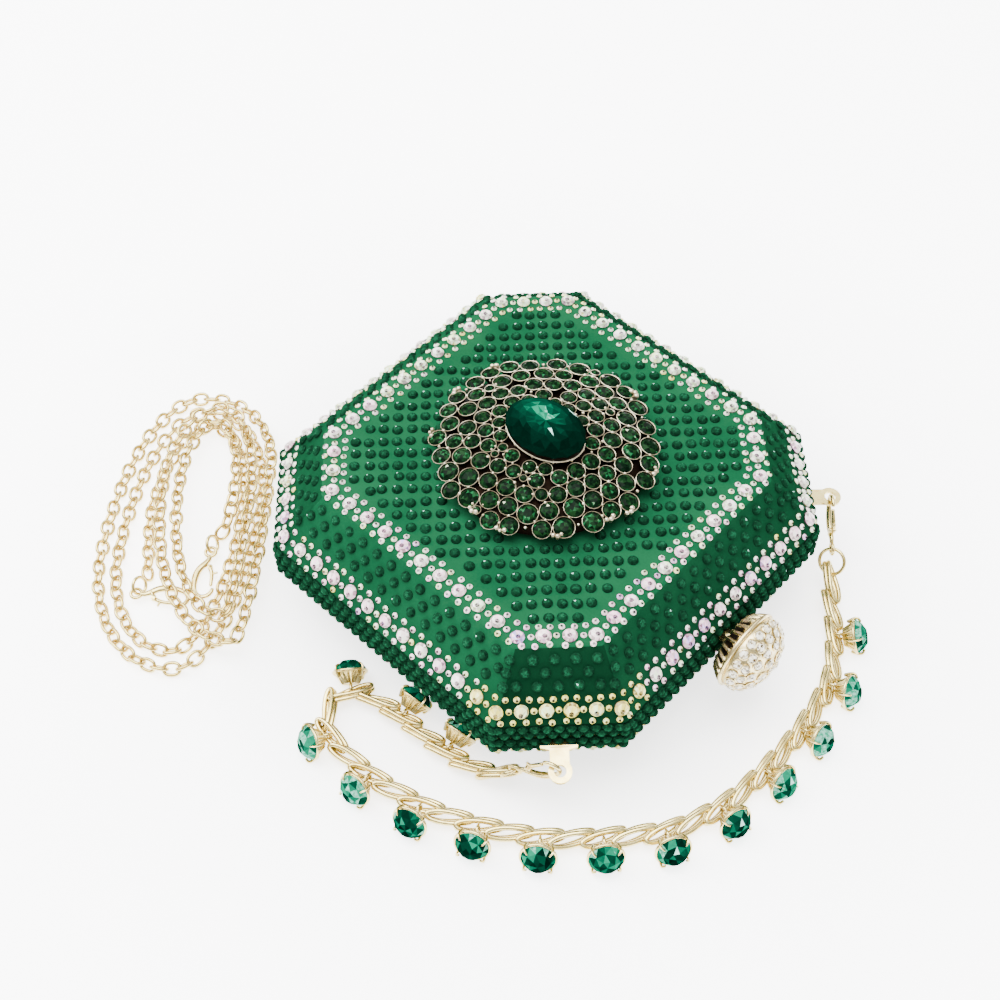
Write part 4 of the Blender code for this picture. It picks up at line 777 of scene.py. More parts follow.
class Cut:
    """A round stone's facets, drawn for a radius and a height of one."""

    GIRDLE = 0.22
    CROWN_REACH = 0.76
    CROWN_RISE = 0.68

    def __init__(
        self,
        sides: int,
        table: float,
        shift: float,
        painted_lights: tuple[float, float, float, float],
        star: bool = False,
    ) -> None:
        """Draw the facets.

        Args:
            sides: corners of its table.
            table: the table's radius.
            shift: how far the table sits towards the stone's low side.
            painted_lights: painted light of the girdle, the crown, the star facets and the table.
            star: whether a ring of star facets lies between the crown and the table.
        """
        full, half = around(2 * sides), around(sides)
        foot = np.stack([np.cos(full), np.sin(full), np.zeros(2 * sides)], 1)
        rim = foot + (0, 0, self.GIRDLE)
        reach, rise = self.CROWN_REACH, np.full(sides, self.CROWN_RISE)
        mid = np.stack([reach * np.cos(half), reach * np.sin(half), rise], 1)
        turn = half + math.pi / sides if star else half
        top = np.stack([table * np.cos(turn) + shift, table * np.sin(turn), np.ones(sides)], 1)
        rings = [foot, rim, mid, top] if star else [foot, rim, top]
        self.points = np.vstack([*rings, [[shift, 0, 1.0]]])
        r, m, c, last = 2 * sides, 4 * sides, len(self.points) - 1 - sides, len(self.points) - 1
        outer = m if star else c
        self.faces: list[tuple[int, ...]] = []
        base: list[float] = []
        for k in range(sides):
            before, here, after = r + (2 * k - 1) % (2 * sides), r + 2 * k, r + (2 * k + 1) % (2 * sides)
            j = (k + 1) % sides
            self.faces += [(before, here, outer + k), (here, after, outer + k), (after, outer + j, outer + k)]
            base += [painted_lights[1], painted_lights[1] + 0.1, painted_lights[1] - 0.05]
            if star:
                self.faces += [(m + k, m + j, c + k), (m + j, c + j, c + k)]
                base += [painted_lights[2], painted_lights[2] + 0.05]
            self.faces.append((c + k, c + j, last))
            base.append(painted_lights[3])
        for k in range(2 * sides):
            j = (k + 1) % (2 * sides)
            self.faces.append((k, j, r + j, r + k))
            base.append(painted_lights[0])
        self.base_painted_lights = np.asarray(base)
        self.sides, self.stride = sides, 6 if star else 4

    def add(
        self,
        stack: Stack,
        centres: np.ndarray,
        normals: np.ndarray,
        radius: float,
        height: float,
        rng: np.random.Generator,
        tints: np.ndarray | None = None,
        swing: float = 0.2,
        spin: float = math.pi,
        flash: float = 0.0,
    ) -> None:
        """Set stones of one size.

        Args:
            stack: where they go.
            centres: the middles of their feet.
            normals: the way that each one faces.
            radius: their radius.
            height: their height.
            rng: the source of their spin and tones.
            tints: one tint for each.
            swing: how far their facets' tones vary.
            spin: how far they may turn from their low side, in radians.
            flash: the share of stones with one painted glint, a facet on the side away from their low side.
        """
        normals = unit(normals)
        count = len(centres)
        side = LOW_SIDE - normals * (normals @ LOW_SIDE)[:, None]
        short = np.linalg.norm(side, axis=1) < 0.2
        side[short] = np.cross(normals[short], (0.31, 0.77, 0.11))
        side = unit(side)
        turn = rng.uniform(-spin, spin, count)
        across = np.cross(normals, side)
        a = np.cos(turn)[:, None] * side + np.sin(turn)[:, None] * across
        b = np.cross(normals, a)
        size = radius * rng.uniform(0.96, 1.04, count)
        p = self.points
        placed = (
            centres[:, None, :]
            + size[:, None, None] * (p[None, :, :1] * a[:, None, :] + p[None, :, 1:2] * b[:, None, :])
            + height * p[None, :, 2:] * normals[:, None, :]
        )
        facets = len(self.faces)
        painted_lights = self.base_painted_lights[None, :] + rng.uniform(-swing, swing, (count, facets))
        painted_lights = np.clip(painted_lights + rng.uniform(-0.08, 0.08, count)[:, None], 0, 0.94)
        # Painted glints: on some stones one upper facet, away from the low side, is set to full painted
        # light.
        flashing = np.flatnonzero(rng.random(count) < flash)
        corner = (math.pi * 0.9 - turn[flashing]) * self.sides / (2 * math.pi)
        upper = np.rint(corner).astype(int) % self.sides
        painted_lights[flashing, upper * self.stride + self.stride - 2] = 1.0
        for i in range(count):
            tint = 0.5 if tints is None else np.clip(tints[i] + rng.normal(0, 0.09, facets), 0, 1)
            stack.add(placed[i], self.faces, painted_lights[i], tint)


# Each cut's four values are painted light of the girdle, the crown, the star facets and the table; a low
# girdle value is a painted dark rim.
CLEAR_CUT = Cut(8, 0.34, 0.36, (0.05, 0.66, 0.90, 0.24), star=True)
CLEAR_SMALL_CUT = Cut(6, 0.46, 0.14, (0.05, 0.88, 0.8, 0.0))
GREEN_CUT = Cut(6, 0.42, 0.06, (0.05, 0.28, 0.46, 0.54), star=True)
DEEP_CUT = Cut(8, 0.46, 0.0, (0.05, 0.42, 0.45, 0.40), star=True)
DROP_CUT = Cut(8, 0.46, 0.08, (0.55, 0.62, 0.5, 0.40), star=True)
PALE_CUT = Cut(8, 0.46, 0.08, (0.80, 0.84, 0.88, 0.62), star=True)


@dataclass
class CaseSizes:
    """The case's outline and the stones on it."""

    wall_half: float = 0.0750
    panel_half: float = 0.0584
    corner_reach: float = 0.0115
    thickness: float = 0.0540
    wall_rise: float = 0.0074
    ground: float = 0.0019
    edge_round: float = 0.0008
    corner_round: float = 0.0016
    large: float = 0.00228
    large_height: float = 0.0019
    green: float = 0.00170
    green_height: float = 0.0013
    small: float = 0.00098
    small_height: float = 0.0009
    grid_along: float = 0.00445
    grid_deep: float = 0.00487
    grid_limit: float = 0.0497
    grid_stray: float = 0.00020
    brooch_room: float = 0.034
    bevel_rises: tuple[float, ...] = (0.0120, 0.0160, 0.0200)
    bevel_pitch: float = 0.0062
    bevel_margin: float = 0.0016
    bevel_stagger: float = 0.42
    bevel_stray: float = 0.00010
    corner_room: float = 0.0036
    wall_drops: tuple[float, ...] = (0.00215, 0.00545)
    wall_pitch: float = 0.0035
    wall_margin: float = 0.0017
    knob_room: float = 0.0046
    hinge_room: float = 0.0292
    hinge_depth: float = 0.0036
    inner_lines: tuple[float, ...] = (0.0555, 0.0522, 0.0583)
    outer_rises: tuple[float, ...] = (0.00455, 0.0080, 0.0011)
    border_stray: float = 0.00016
    lining_gap: float = 0.0024
    lining_thick: float = 0.0008
    lining_top: float = 0.0226
    # Painted shade for each side of the octagon, lowest on the sides turned from the lights.
    shades: tuple[float, ...] = (0.64, 0.60, 0.72, 0.72, 0.72, 0.60, 0.88, 0.37)

    @property
    def seam(self) -> float:
        """Height of the seam."""
        return self.thickness / 2

    @property
    def foot(self) -> float:
        """Height of the bevel's foot on the back half."""
        return self.seam - self.wall_rise

    @property
    def angle(self) -> float:
        """The bevel's angle."""
        return math.atan2(self.foot - self.ground, self.wall_half - self.panel_half)

    @property
    def slope(self) -> float:
        """The bevel's length."""
        return math.hypot(self.foot - self.ground, self.wall_half - self.panel_half)

    def on_bevel(self, rise: float, height: float) -> tuple[float, float]:
        """Half width and height of a point up the bevel, standing off the satin."""
        half = self.wall_half - rise * math.cos(self.angle) + height * math.sin(self.angle)
        return half, self.foot - rise * math.sin(self.angle) - height * math.cos(self.angle)

    def cut(self, half: float) -> float:
        """How much of each corner is cut away at this half width."""
        return 2 * half - math.sqrt(2) * (half + self.corner_reach)

    def side_half(self, half: float, side: int) -> float:
        """Half the length of one side."""
        return self.cut(half) / math.sqrt(2) if side % 2 else half - self.cut(half)

    def side_far(self, half: float, side: int) -> float:
        """One side's distance from the middle."""
        return half + self.corner_reach if side % 2 else half

    def on_side(self, half: float, side: int, run: float) -> np.ndarray:
        """A place on one side in plan, this far along from the side's middle."""
        out, along = side_ways(side)
        return out * self.side_far(half, side) + along * run

    def side_start(self, half: float, side: int) -> np.ndarray:
        """The corner in plan where one side starts."""
        return self.on_side(half, side, -self.side_half(half, side))


def side_ways(side: int) -> tuple[np.ndarray, np.ndarray]:
    """Outward and sideways directions of one side of the octagon."""
    a = side * math.pi / 4
    return np.array([math.cos(a), math.sin(a), 0.0]), np.array([-math.sin(a), math.cos(a), 0.0])


def bend(
    before: Sequence[float], corner: Sequence[float], after: Sequence[float], steps: int = 5
) -> np.ndarray:
    """Points round a corner.

    Args:
        before: where the bend starts.
        corner: the sharp corner.
        after: where it ends.
        steps: how many points.

    Returns:
        The points, both ends among them.
    """
    a, b, c = (np.asarray(p, float) for p in (before, corner, after))
    t = np.linspace(0, 1, steps)[:, None]
    return (1 - t) ** 2 * a + 2 * t * (1 - t) * b + t * t * c


@dataclass(frozen=True)
class StoneLine:
    """One line of a border: where it runs, how far it leans, and where in each step its stones sit."""

    half: float
    z: float
    tilt: float
    shares: tuple[float, ...]
    large: bool = False


@dataclass
class CaseHalf:
    """One half of the case: its satin, its stones and its lining."""

    prefix: str
    body: str
    lid: bool
    finishes: Finishes
    sizes: CaseSizes = field(default_factory=CaseSizes)

    def __post_init__(self) -> None:
        """Seed the stones' small differences."""
        self.rng = np.random.default_rng(11 if self.lid else 7)
        self.green_nodes = [f"{self.prefix}_{place}_crystals" for place in ("panel", "bevel", "wall")]

    def turn_way(self, ways: np.ndarray) -> np.ndarray:
        """Directions of the back half's drawing, in this half."""
        return ways * (1, 1, -1 if self.lid else 1)

    def turn(self, points: np.ndarray) -> np.ndarray:
        """Points of the back half's drawing, in this half's place."""
        return self.turn_way(points) + (0, 0, self.sizes.thickness if self.lid else 0)

    def outline(self, half: float, z: float, per_side: int = 8) -> np.ndarray:
        """A level octagon with softly rounded corners.

        Args:
            half: its half width.
            z: its height.
            per_side: steps along each side.

        Returns:
            Its points.
        """
        s = self.sizes
        points = []
        back = s.corner_round * math.tan(math.pi / 8)
        for side in range(8):
            out, along = side_ways(side)
            after, after_along = side_ways(side + 1)
            far, reach = s.side_far(half, side), s.side_half(half, side)
            next_far, next_reach = s.side_far(half, side + 1), s.side_half(half, side + 1)
            run, next_run = max(reach - back, reach * 0.2), max(next_reach - back, next_reach * 0.2)
            points += [out * far + along * run * (2 * k / per_side - 1) for k in range(per_side + 1)]
            start, end = out * far + along * run, after * next_far - after_along * next_run
            points += list(bend(start, out * far + along * reach, end, 4)[1:-1])
        points = np.array(points)
        points[:, 2] = z
        return points

    def satin_profile(self) -> np.ndarray:
        """Draw the satin from the panel's middle to the seam.

        Returns:
            Half widths and heights.
        """
        s = self.sizes
        r = s.edge_round
        top = s.seam - 0.0003
        return np.vstack(
            [
                [(half, s.ground) for half in (0.036, 0.047, 0.0545)],
                bend((s.panel_half - r, s.ground), (s.panel_half, s.ground), s.on_bevel(s.slope - r, 0)),
                [s.on_bevel(s.slope * share, 0) for share in (0.8, 0.6, 0.4, 0.2)],
                bend(s.on_bevel(r, 0), (s.wall_half, s.foot), (s.wall_half, s.foot + r)),
                [(s.wall_half, (s.foot + top) / 2), (s.wall_half, top - 0.0002)],
                [(s.wall_half - 0.0002, top), (s.wall_half - 0.00028, top)],
            ]
        )

    def shell_stack(self, profile: np.ndarray, floor: float, outward: bool) -> Stack:
        """Carry a profile round the octagon and close its middle.

        Each face carries a painted shade: darker the deeper it lies down the bevel and the wall, most on the
        sides turned away from the lights.

        Args:
            profile: half widths and heights.
            floor: the middle's height.
            outward: whether it faces out of the case.

        Returns:
            The points and faces.
        """
        rings = [self.outline(half, z) for half, z in profile]
        columns = len(rings[0])
        middle = len(rings) * columns
        faces = grid_faces(len(rings), columns)
        faces += [((j + 1) % columns, j, middle) for j in range(columns)]
        depth = np.clip((profile[:-1, 1] - floor) / (self.sizes.foot - floor), 0, 1.0)
        # Painted shade: darker with depth down the bevel, much darker on the wall, times each side's painted
        # shade.
        level = 1.0 - 0.16 * depth - 0.42 * (depth >= 1.0)
        shades = np.repeat(self.sizes.shades, columns // 8)
        painted_lights = level[:, None] * np.where((depth > 0.02)[:, None], shades[None, :], 1.0)
        if outward == self.lid:
            faces = [face[::-1] for face in faces]
        stack = Stack()
        painted_lights = np.concatenate([painted_lights.ravel(), np.ones(columns)])
        stack.add(self.turn(np.vstack([*rings, [[0, 0, floor]]])), faces, painted_lights)
        return stack

    def satin(self) -> None:
        """Lay the satin over the shell."""
        stack = self.shell_stack(self.satin_profile(), self.sizes.ground, True)
        name = f"{self.prefix}_satin"
        stack.build(name, self.finishes.satin, self.body, Slot.GREEN, 50, self.green_nodes)

    def panel_seats(self, clear: float) -> tuple[np.ndarray, np.ndarray]:
        """The grid of green stones on the flat panel, rows parallel to the front corner.

        Args:
            clear: the radius left free in the middle.

        Returns:
            The stones' places and the ways that they face.
        """
        s = self.sizes
        i, j = np.meshgrid(np.arange(-16, 17), np.arange(-20, 21), indexing="ij")
        u, v = (j.ravel() + 0.5) * s.grid_along, (i.ravel() + 0.5) * s.grid_deep
        x, y = (u + v) / math.sqrt(2), (u - v) / math.sqrt(2)
        inside = np.maximum(np.abs(x), np.abs(y)) < s.grid_limit
        inside &= (np.abs(x) + np.abs(y)) / math.sqrt(2) < s.grid_limit + s.corner_reach
        inside &= np.hypot(x, y) > clear
        seats = np.stack([x, y, np.full_like(x, s.ground)], 1)[inside]
        seats[:, :2] += self.rng.normal(0, s.grid_stray, (len(seats), 2))
        return seats, np.tile((0.0, 0.0, -1.0), (len(seats), 1))

    def wall_row(self, z: float, shift: float) -> list[tuple[np.ndarray, int]]:
        """Even places along all eight sides of the wall at one height.

        Args:
            z: the height.
            shift: where the first one sits, as a share of the step.

        Returns:
            Each place and its side.
        """
        s = self.sizes
        found = []
        for side in range(8):
            reach = s.side_half(s.wall_half, side) - s.wall_margin
            count = max(int(2 * reach / s.wall_pitch), 1)
            step = 2 * reach / count
            for k in range(count + int(shift == 0)):
                place = s.on_side(s.wall_half, side, -reach + (shift + k) * step)
                place[2] = z
                found.append((place, side))
        return found

    def bevel_seats(self) -> tuple[np.ndarray, np.ndarray]:
        """Staggered rows of green stones up the bevel, with one on each corner that they leave free.

        Returns:
            The stones' places and the ways that they face.
        """
        s = self.sizes
        down = np.array([0.0, 0.0, math.cos(s.angle)])
        seats, ways = [], []
        for k, rise in enumerate(s.bevel_rises):
            half, z = s.on_bevel(rise, 0)
            for side in range(8):
                out, before = side_ways(side)[0], side_ways(side - 1)[0]
                reach = s.side_half(half, side)
                steps = np.arange(-40, 41) * s.bevel_pitch + s.bevel_stagger * s.bevel_pitch * k
                steps = steps[np.abs(steps) < reach - s.bevel_margin]
                spots = [s.on_side(half, side, step) for step in steps]
                seats += [(spot[0], spot[1], z) for spot in spots]
                ways += [out * math.sin(s.angle) - down] * len(spots)
                if reach + steps.min() > s.corner_room:
                    corner = s.side_start(half, side)
                    seats.append((corner[0], corner[1], z))
                    ways.append(unit(out + before) * math.sin(s.angle) - down)
        seats = np.array(seats)
        return seats + self.rng.normal(0, s.bevel_stray, seats.shape), np.array(ways)

    def wall_seats(self) -> tuple[np.ndarray, np.ndarray]:
        """Two rows of green stones on this half of the wall, open at the knob and the hinge.

        Returns:
            The stones' places and the ways that they face.
        """
        s = self.sizes
        seats, ways = [], []
        for k, drop in enumerate(s.wall_drops):
            for place, side in self.wall_row(s.seam - drop, 0.5 * ((k + self.lid) % 2)):
                at_knob = side == 0 and math.hypot(place[1], place[2] - s.seam) < s.knob_room
                at_hinge = side == 4 and abs(place[1]) < s.hinge_room and drop < s.hinge_depth
                if not (at_knob or at_hinge):
                    seats.append(place)
                    ways.append(side_ways(side)[0])
            for side in range(8):
                seats.append(s.side_start(s.wall_half, side) * (1, 1, 0) + (0, 0, s.seam - drop))
                ways.append(unit(side_ways(side)[0] + side_ways(side - 1)[0]))
        return np.array(seats), np.array(ways)

    def green_stones(self) -> None:
        """Set all the green stones of this half."""
        s = self.sizes
        stack = Stack()
        panel = self.panel_seats(s.brooch_room if self.lid else 0.0)
        places = (panel, self.bevel_seats(), self.wall_seats())
        # Painted glints on four stones in ten on the panel, fewer on the bevel and the wall.
        for (seats, ways), size, flash in zip(places, (1.0, 0.99, 0.97), (0.40, 0.10, 0.04)):
            seats, ways = self.turn(seats), self.turn_way(ways)
            GREEN_CUT.add(stack, seats, ways, s.green * size, s.green_height, self.rng, flash=flash)
        name = f"{self.prefix}_green_stones"
        stack.build(name, self.finishes.green, self.body, Slot.GREEN, replaces=self.green_nodes)

    def border_row(self, line: StoneLine, counts: tuple[int, int]) -> tuple[np.ndarray, np.ndarray]:
        """Places along a border line, at shares of the pitch of its large stones.

        Args:
            line: the line.
            counts: large stones on a long side and on a cut corner.

        Returns:
            The places, and each one's outward direction in plan.
        """
        s = self.sizes
        places, outs = [], []
        for side in range(8):
            out, before = side_ways(side)[0], side_ways(side - 1)[0]
            count = counts[side % 2]
            for k in range(count):
                for share in line.shares:
                    run = s.side_half(line.half, side) * (2 * (k + share) / count - 1)
                    place = s.on_side(line.half, side, run)
                    places.append((place[0], place[1], line.z))
                    outs.append(unit(out + before) if k + share == 0 else out)
        return np.array(places), np.array(outs)

    def tints(self, places: np.ndarray) -> np.ndarray:
        """The coating's colour on each stone, by how far forward it sits.

        Args:
            places: the stones' places.

        Returns:
            Tints: cream behind, lilac and pink towards the front, yellow on the front corner.
        """
        front = (places[:, 0] - places[:, 1]) / math.sqrt(2)
        rosy = np.clip(0.5 + front / 0.11, 0, 1)
        tint = 0.59 - 0.23 * rosy + self.rng.normal(0, 0.09 + 0.06 * rosy)
        low = front > 0.076
        tint[low] = 0.78 + 0.2 * self.rng.random(int(low.sum()))
        return np.clip(tint, 0.02, 1)

    def border(self, name: str, lines: Sequence[StoneLine], counts: tuple[int, int]) -> None:
        """Set one border of clear stones.

        Args:
            name: which border it is, inner or outer.
            lines: its lines of stones.
            counts: large stones on a long side and on a cut corner.
        """
        s = self.sizes
        stack = Stack()
        for line in lines:
            places, outs = self.border_row(line, counts)
            ways = outs * math.sin(line.tilt) - np.array([0, 0, math.cos(line.tilt)])
            if not line.large:
                places = places + self.rng.normal(0, s.border_stray, places.shape) * (1, 1, 0.3)
            cut, radius = (CLEAR_CUT, s.large) if line.large else (CLEAR_SMALL_CUT, s.small)
            height = s.large_height if line.large else s.small_height
            tints = np.clip(self.tints(places) + (0.0 if line.large else 0.1), 0, 1)
            places, ways = self.turn(places), self.turn_way(ways)
            cut.add(stack, places, ways, radius, height, self.rng, tints, swing=0.3, spin=0.5)
        piece, nodes = f"{self.prefix}_{name}_stones", (f"{self.prefix}_{name}_border",)
        stack.build(piece, self.finishes.aurora, self.body, Slot.CLEAR, replaces=nodes)

    def borders(self) -> None:
        """Set both borders."""
        s = self.sizes
        pair = (0.25, 0.75)
        line, near, far = s.inner_lines
        flat = [
            StoneLine(line, s.ground, 0.0, (0.0,), True),
            StoneLine(line, s.ground, 0.0, (0.5,)),
            StoneLine(near, s.ground, 0.0, pair),
            StoneLine(far, s.ground + 0.00015, s.angle / 2, pair),
        ]
        self.border("inner", flat, (10, 3))
        middle, upper, lower = (s.on_bevel(rise, 0) for rise in s.outer_rises)
        sloped = [
            StoneLine(*middle, s.angle, (0.0,), True),
            StoneLine(*middle, s.angle, (0.5,)),
            StoneLine(*upper, s.angle, pair),
        ]
        if self.lid:
            sloped.append(StoneLine(*lower, s.angle, pair))
        else:
            sloped.append(StoneLine(s.wall_half - 0.0003, s.foot + 0.0003, s.angle / 2 + math.pi / 4, pair))
        self.border("outer", sloped, (12, 5))

    def lining(self) -> None:
        """Line the inside with soft cloth that rounds into the corners."""
        s = self.sizes
        thick, top = s.lining_thick, s.lining_top
        inside = s.lining_gap + thick
        half_edge = s.panel_half - inside * math.tan(s.angle / 2)
        foot = s.foot + inside * math.tan(math.pi / 4 - s.angle / 2)
        wall = s.wall_half - inside
        floor = s.ground + inside
        way = unit(np.array([wall - half_edge, foot - floor]))
        profile = np.vstack(
            [
                [(half, floor) for half in (0.040, 0.050)],
                bend((half_edge - 0.003, floor), (half_edge, floor), (half_edge, floor) + way * 0.003),
                bend((wall, foot) - way * 0.0022, (wall, foot), (wall, foot + 0.0022), 3),
                [(wall, top - 0.0002), (wall + 0.0001, top), (wall + thick - 0.0001, top)],
                [(wall + thick, top - 0.0002), (wall + thick, foot)],
            ]
        )
        # The lining takes the same painted shade, darker the deeper it lies.
        stack = self.shell_stack(profile, floor, False)
        name, nodes = f"{self.prefix}_cloth_lining", (f"{self.prefix}_lining",)
        stack.build(name, self.finishes.lining, self.body, Slot.LINING, 50, nodes)

    def build(self) -> None:
        """Make the whole half."""
        self.satin()
        self.green_stones()
        self.borders()
        self.lining()


@dataclass
class Brooch:
    """The domed brooch: round green stones in wire settings, and an oval centre stone."""

    finishes: Finishes
    floor: float = 0.0543
    radius: float = 0.0372
    rim: float = 0.0012
    crown: float = 0.0065
    wire: float = 0.00014
    rings: tuple[tuple[int, float, float], ...] = (
        (13, 0.0152, 0.00255),
        (17, 0.0197, 0.00285),
        (21, 0.0245, 0.00305),
        (24, 0.0290, 0.00325),
        (27, 0.0336, 0.00340),
    )
    setting_lift: float = 0.0014
    stone_lift: float = 0.0008
    stone_height: float = 0.0013
    stone_margin: float = 0.00026
    plate_edge: float = 0.0330
    bead_radius: float = 0.00048
    knot_radius: float = 0.00084
    knot_from: float = 0.0325
    oval_room: float = 0.0016
    oval_steps: int = 48
    bezel_length: float = 0.0142
    bezel_width: float = 0.0107
    bezel_height: float = 0.0042
    # The centre and reach of the centre stone's painted highlight.
    glow: tuple[float, float] = (-0.0036, 0.0020)
    glow_reach: tuple[float, float] = (0.0085, 0.0052)

    def height(self, radius: float) -> float:
        """Height of the dome at a radius."""
        return self.floor + self.rim + self.crown * (1 - (radius / self.radius) ** 2)

    def spread(self, spots: np.ndarray) -> np.ndarray:
        """Distances between all places, with one on the diagonal."""
        return np.linalg.norm(spots[:, None] - spots[None], axis=2) + np.eye(len(spots))

    def packing(self) -> tuple[np.ndarray, np.ndarray]:
        """Settings pushed apart until they touch, between the centre stone and the rim.

        Returns:
            Their places in plan and their radii.
        """
        rng = np.random.default_rng(5)
        places, sizes = [], []
        for count, far, size in self.rings:
            turn = 2 * math.pi * (np.arange(count) + 0.5 * rng.random()) / count + rng.normal(0, 0.03, count)
            reach = far + rng.normal(0, 0.0005, count)
            places.append(np.stack([reach * np.cos(turn), reach * np.sin(turn)], 1))
            sizes.append(size * rng.uniform(0.90, 1.06, count))
        spots, radii = np.vstack(places), np.concatenate(sizes)
        oval = np.array([self.bezel_length, self.bezel_width]) + self.oval_room
        keep = np.linalg.norm(spots / oval, axis=1) > 0.98
        spots, radii = spots[keep], radii[keep]
        limit = self.radius - radii - rng.uniform(0, 0.0022, len(radii))
        for _ in range(160):
            gap, far = spots[:, None] - spots[None], self.spread(spots)
            press = np.maximum(radii[:, None] + radii[None] - far, 0) * (1 - np.eye(len(spots)))
            spots = spots + 0.25 * np.sum(press[:, :, None] * gap / far[:, :, None], axis=1)
            inner = np.linalg.norm(spots / oval, axis=1)
            spots = spots * np.maximum(1.0, 1.0 / inner)[:, None]
            outer = np.linalg.norm(spots, axis=1)
            spots = spots * np.minimum(1.0, limit / outer)[:, None]
        return self.fill(spots, np.minimum(radii, self.spread(spots).min(axis=1) * 0.55), oval, rng)

    def fill(
        self, spots: np.ndarray, radii: np.ndarray, oval: np.ndarray, rng: np.random.Generator
    ) -> tuple[np.ndarray, np.ndarray]:
        """Set smaller stones in the gaps that are left.

        Args:
            spots: the settings' places in plan.
            radii: their radii.
            oval: the centre stone's half length and half width, with its clearance.
            rng: the source of the places tried.

        Returns:
            All the settings' places and radii.
        """
        tries = rng.uniform(-self.radius, self.radius, (9000, 2))
        for _ in range(70):
            room = (np.linalg.norm(tries[:, None] - spots[None], axis=2) - radii[None]).min(axis=1)
            room = np.minimum(room, self.radius - 0.0020 - np.linalg.norm(tries, axis=1))
            room = np.minimum(room, (np.linalg.norm(tries / oval, axis=1) - 1) * oval[1] + 0.0006)
            best = int(room.argmax())
            if room[best] < 0.0012:
                break
            spots = np.vstack([spots, tries[best]])
            radii = np.append(radii, min(room[best] * 1.06, 0.0026))
        return spots, radii

    def seats(self) -> list[tuple[np.ndarray, np.ndarray, float]]:
        """Seat every small stone on the dome.

        Returns:
            Each one's place, facing and radius.
        """
        found = []
        for (x, y), size in zip(*self.packing()):
            far = math.hypot(x, y)
            slope = 2 * self.crown / self.radius**2
            way = unit(np.array([x * slope, y * slope, 1.0]))
            found.append((np.array([x, y, self.height(far)]), way, size))
        return found

    def build(self) -> None:
        """Make all its pieces."""
        rng = np.random.default_rng(3)
        plate, wires, stones = Stack(), Stack(), Stack()
        edge = self.plate_edge
        profile = [(0.0, edge), (0.0004, edge + 0.0004), (0.0010, edge)]
        for share in (0.93, 0.8, 0.65, 0.5, 0.35, 0.2, 0.05):
            profile.append((self.height(share * edge) - self.floor - 0.0006, share * edge))
        turned(plate, profile, np.array([0, 0, self.floor]), np.array([0, 0, 1.0]), 72)
        seats = self.seats()
        for place, way, size in seats:
            cup = ((-0.0013, size * 0.6), (0.0002, size * 0.84), (0.0013, size * 0.95), (0.0012, size * 0.86))
            turned(plate, (*cup, (0.0004, size * 0.8)), place, way, 14)
            torus(wires, place + way * self.setting_lift, way, size - self.wire, self.wire, 18, 6)
            foot, radius = place[None] + way * self.stone_lift, size - self.stone_margin
            # A few of the brooch stones get a painted glint.
            DEEP_CUT.add(stones, foot, way[None], radius, self.stone_height, rng, swing=0.45, flash=0.05)
        self.beads(wires, seats, rng)
        # The plate shows between the settings and is painted near black as their painted shade.
        plate.build("brooch_plate", self.finishes.shadow, "lid", Slot.ANTIQUE, 60, ("brooch_base",))
        wires.build("brooch_settings", self.finishes.antique, "lid", Slot.ANTIQUE, 60)
        stones.build("brooch_stones", self.finishes.deep, "lid", Slot.GREEN)
        self.centre()

    def beads(
        self, stack: Stack, seats: list[tuple[np.ndarray, np.ndarray, float]], rng: np.random.Generator
    ) -> None:
        """Beads between touching settings, in small knots along the rim.

        Args:
            stack: where they go.
            seats: the settings.
            rng: the source of their small differences.
        """
        places = np.array([place for place, _, _ in seats])
        for i, (place, way, size) in enumerate(seats):
            near = np.argsort(np.linalg.norm(places - place, axis=1))[1:5]
            for j in near[near > i]:
                middle = (place + places[j]) / 2
                lifted = middle + way * self.setting_lift
                self.bead(stack, lifted, way, self.bead_radius * rng.uniform(0.7, 1.3))
            out = np.array([place[0], place[1], 0.0])
            if np.linalg.norm(out) > self.knot_from and i % 2 == 0:
                out = unit(out)
                along = np.cross(out, way)
                tip = place + out * size * 0.80 + along * size * 0.72
                for k in range(3):
                    spot = tip + along * (k - 1) * 0.0013 - out * 0.0006 * abs(k - 1) + way * 0.0012
                    self.bead(stack, spot, way, self.knot_radius * rng.uniform(0.7, 1.1))

    def bead(self, stack: Stack, place: np.ndarray, way: np.ndarray, radius: float) -> None:
        """One round bead.

        Args:
            stack: where it goes.
            place: its middle.
            way: the way that it faces.
            radius: its radius.
        """
        profile = [(-radius * 1.6, radius * 0.8)]
        for k in range(5):
            a = -0.3 + k * (math.pi / 2 + 0.3) / 4.4
            profile.append((radius * math.sin(a), radius * math.cos(a)))
        turned(stack, profile, place, way, 8)

    def oval(self, length: float, width: float, z: float, angle: np.ndarray) -> np.ndarray:
        """A level oval, long along X, with a point at each angle."""
        return np.stack([length * np.cos(angle), width * np.sin(angle), np.full(len(angle), z)], 1)

    def centre(self) -> None:
        """Make the bezel and the oval stone."""
        low = self.floor + self.rim + self.crown + 0.0003
        high = low + self.bezel_height
        length, width = self.bezel_length, self.bezel_width
        rings = [
            (length * 0.90, width * 0.88, low - 0.0012),
            (length * 0.93, width * 0.92, low + 0.0004),
            (length * 0.96, width * 0.95, low + 0.0016),
            (length * 0.985, width * 0.98, high - 0.0012),
            (length * 0.98, width * 0.975, high - 0.0007),
            (length * 0.92, width * 0.91, high - 0.0012),
            (length * 0.5, width * 0.5, low + 0.0009),
        ]
        stack, steps = Stack(), self.oval_steps
        points = np.vstack([self.oval(*ring, around(steps)) for ring in rings])
        faces = [*grid_faces(len(rings), steps), end_face(len(rings) - 1, steps)]
        stack.add(points, [face[::-1] for face in faces])
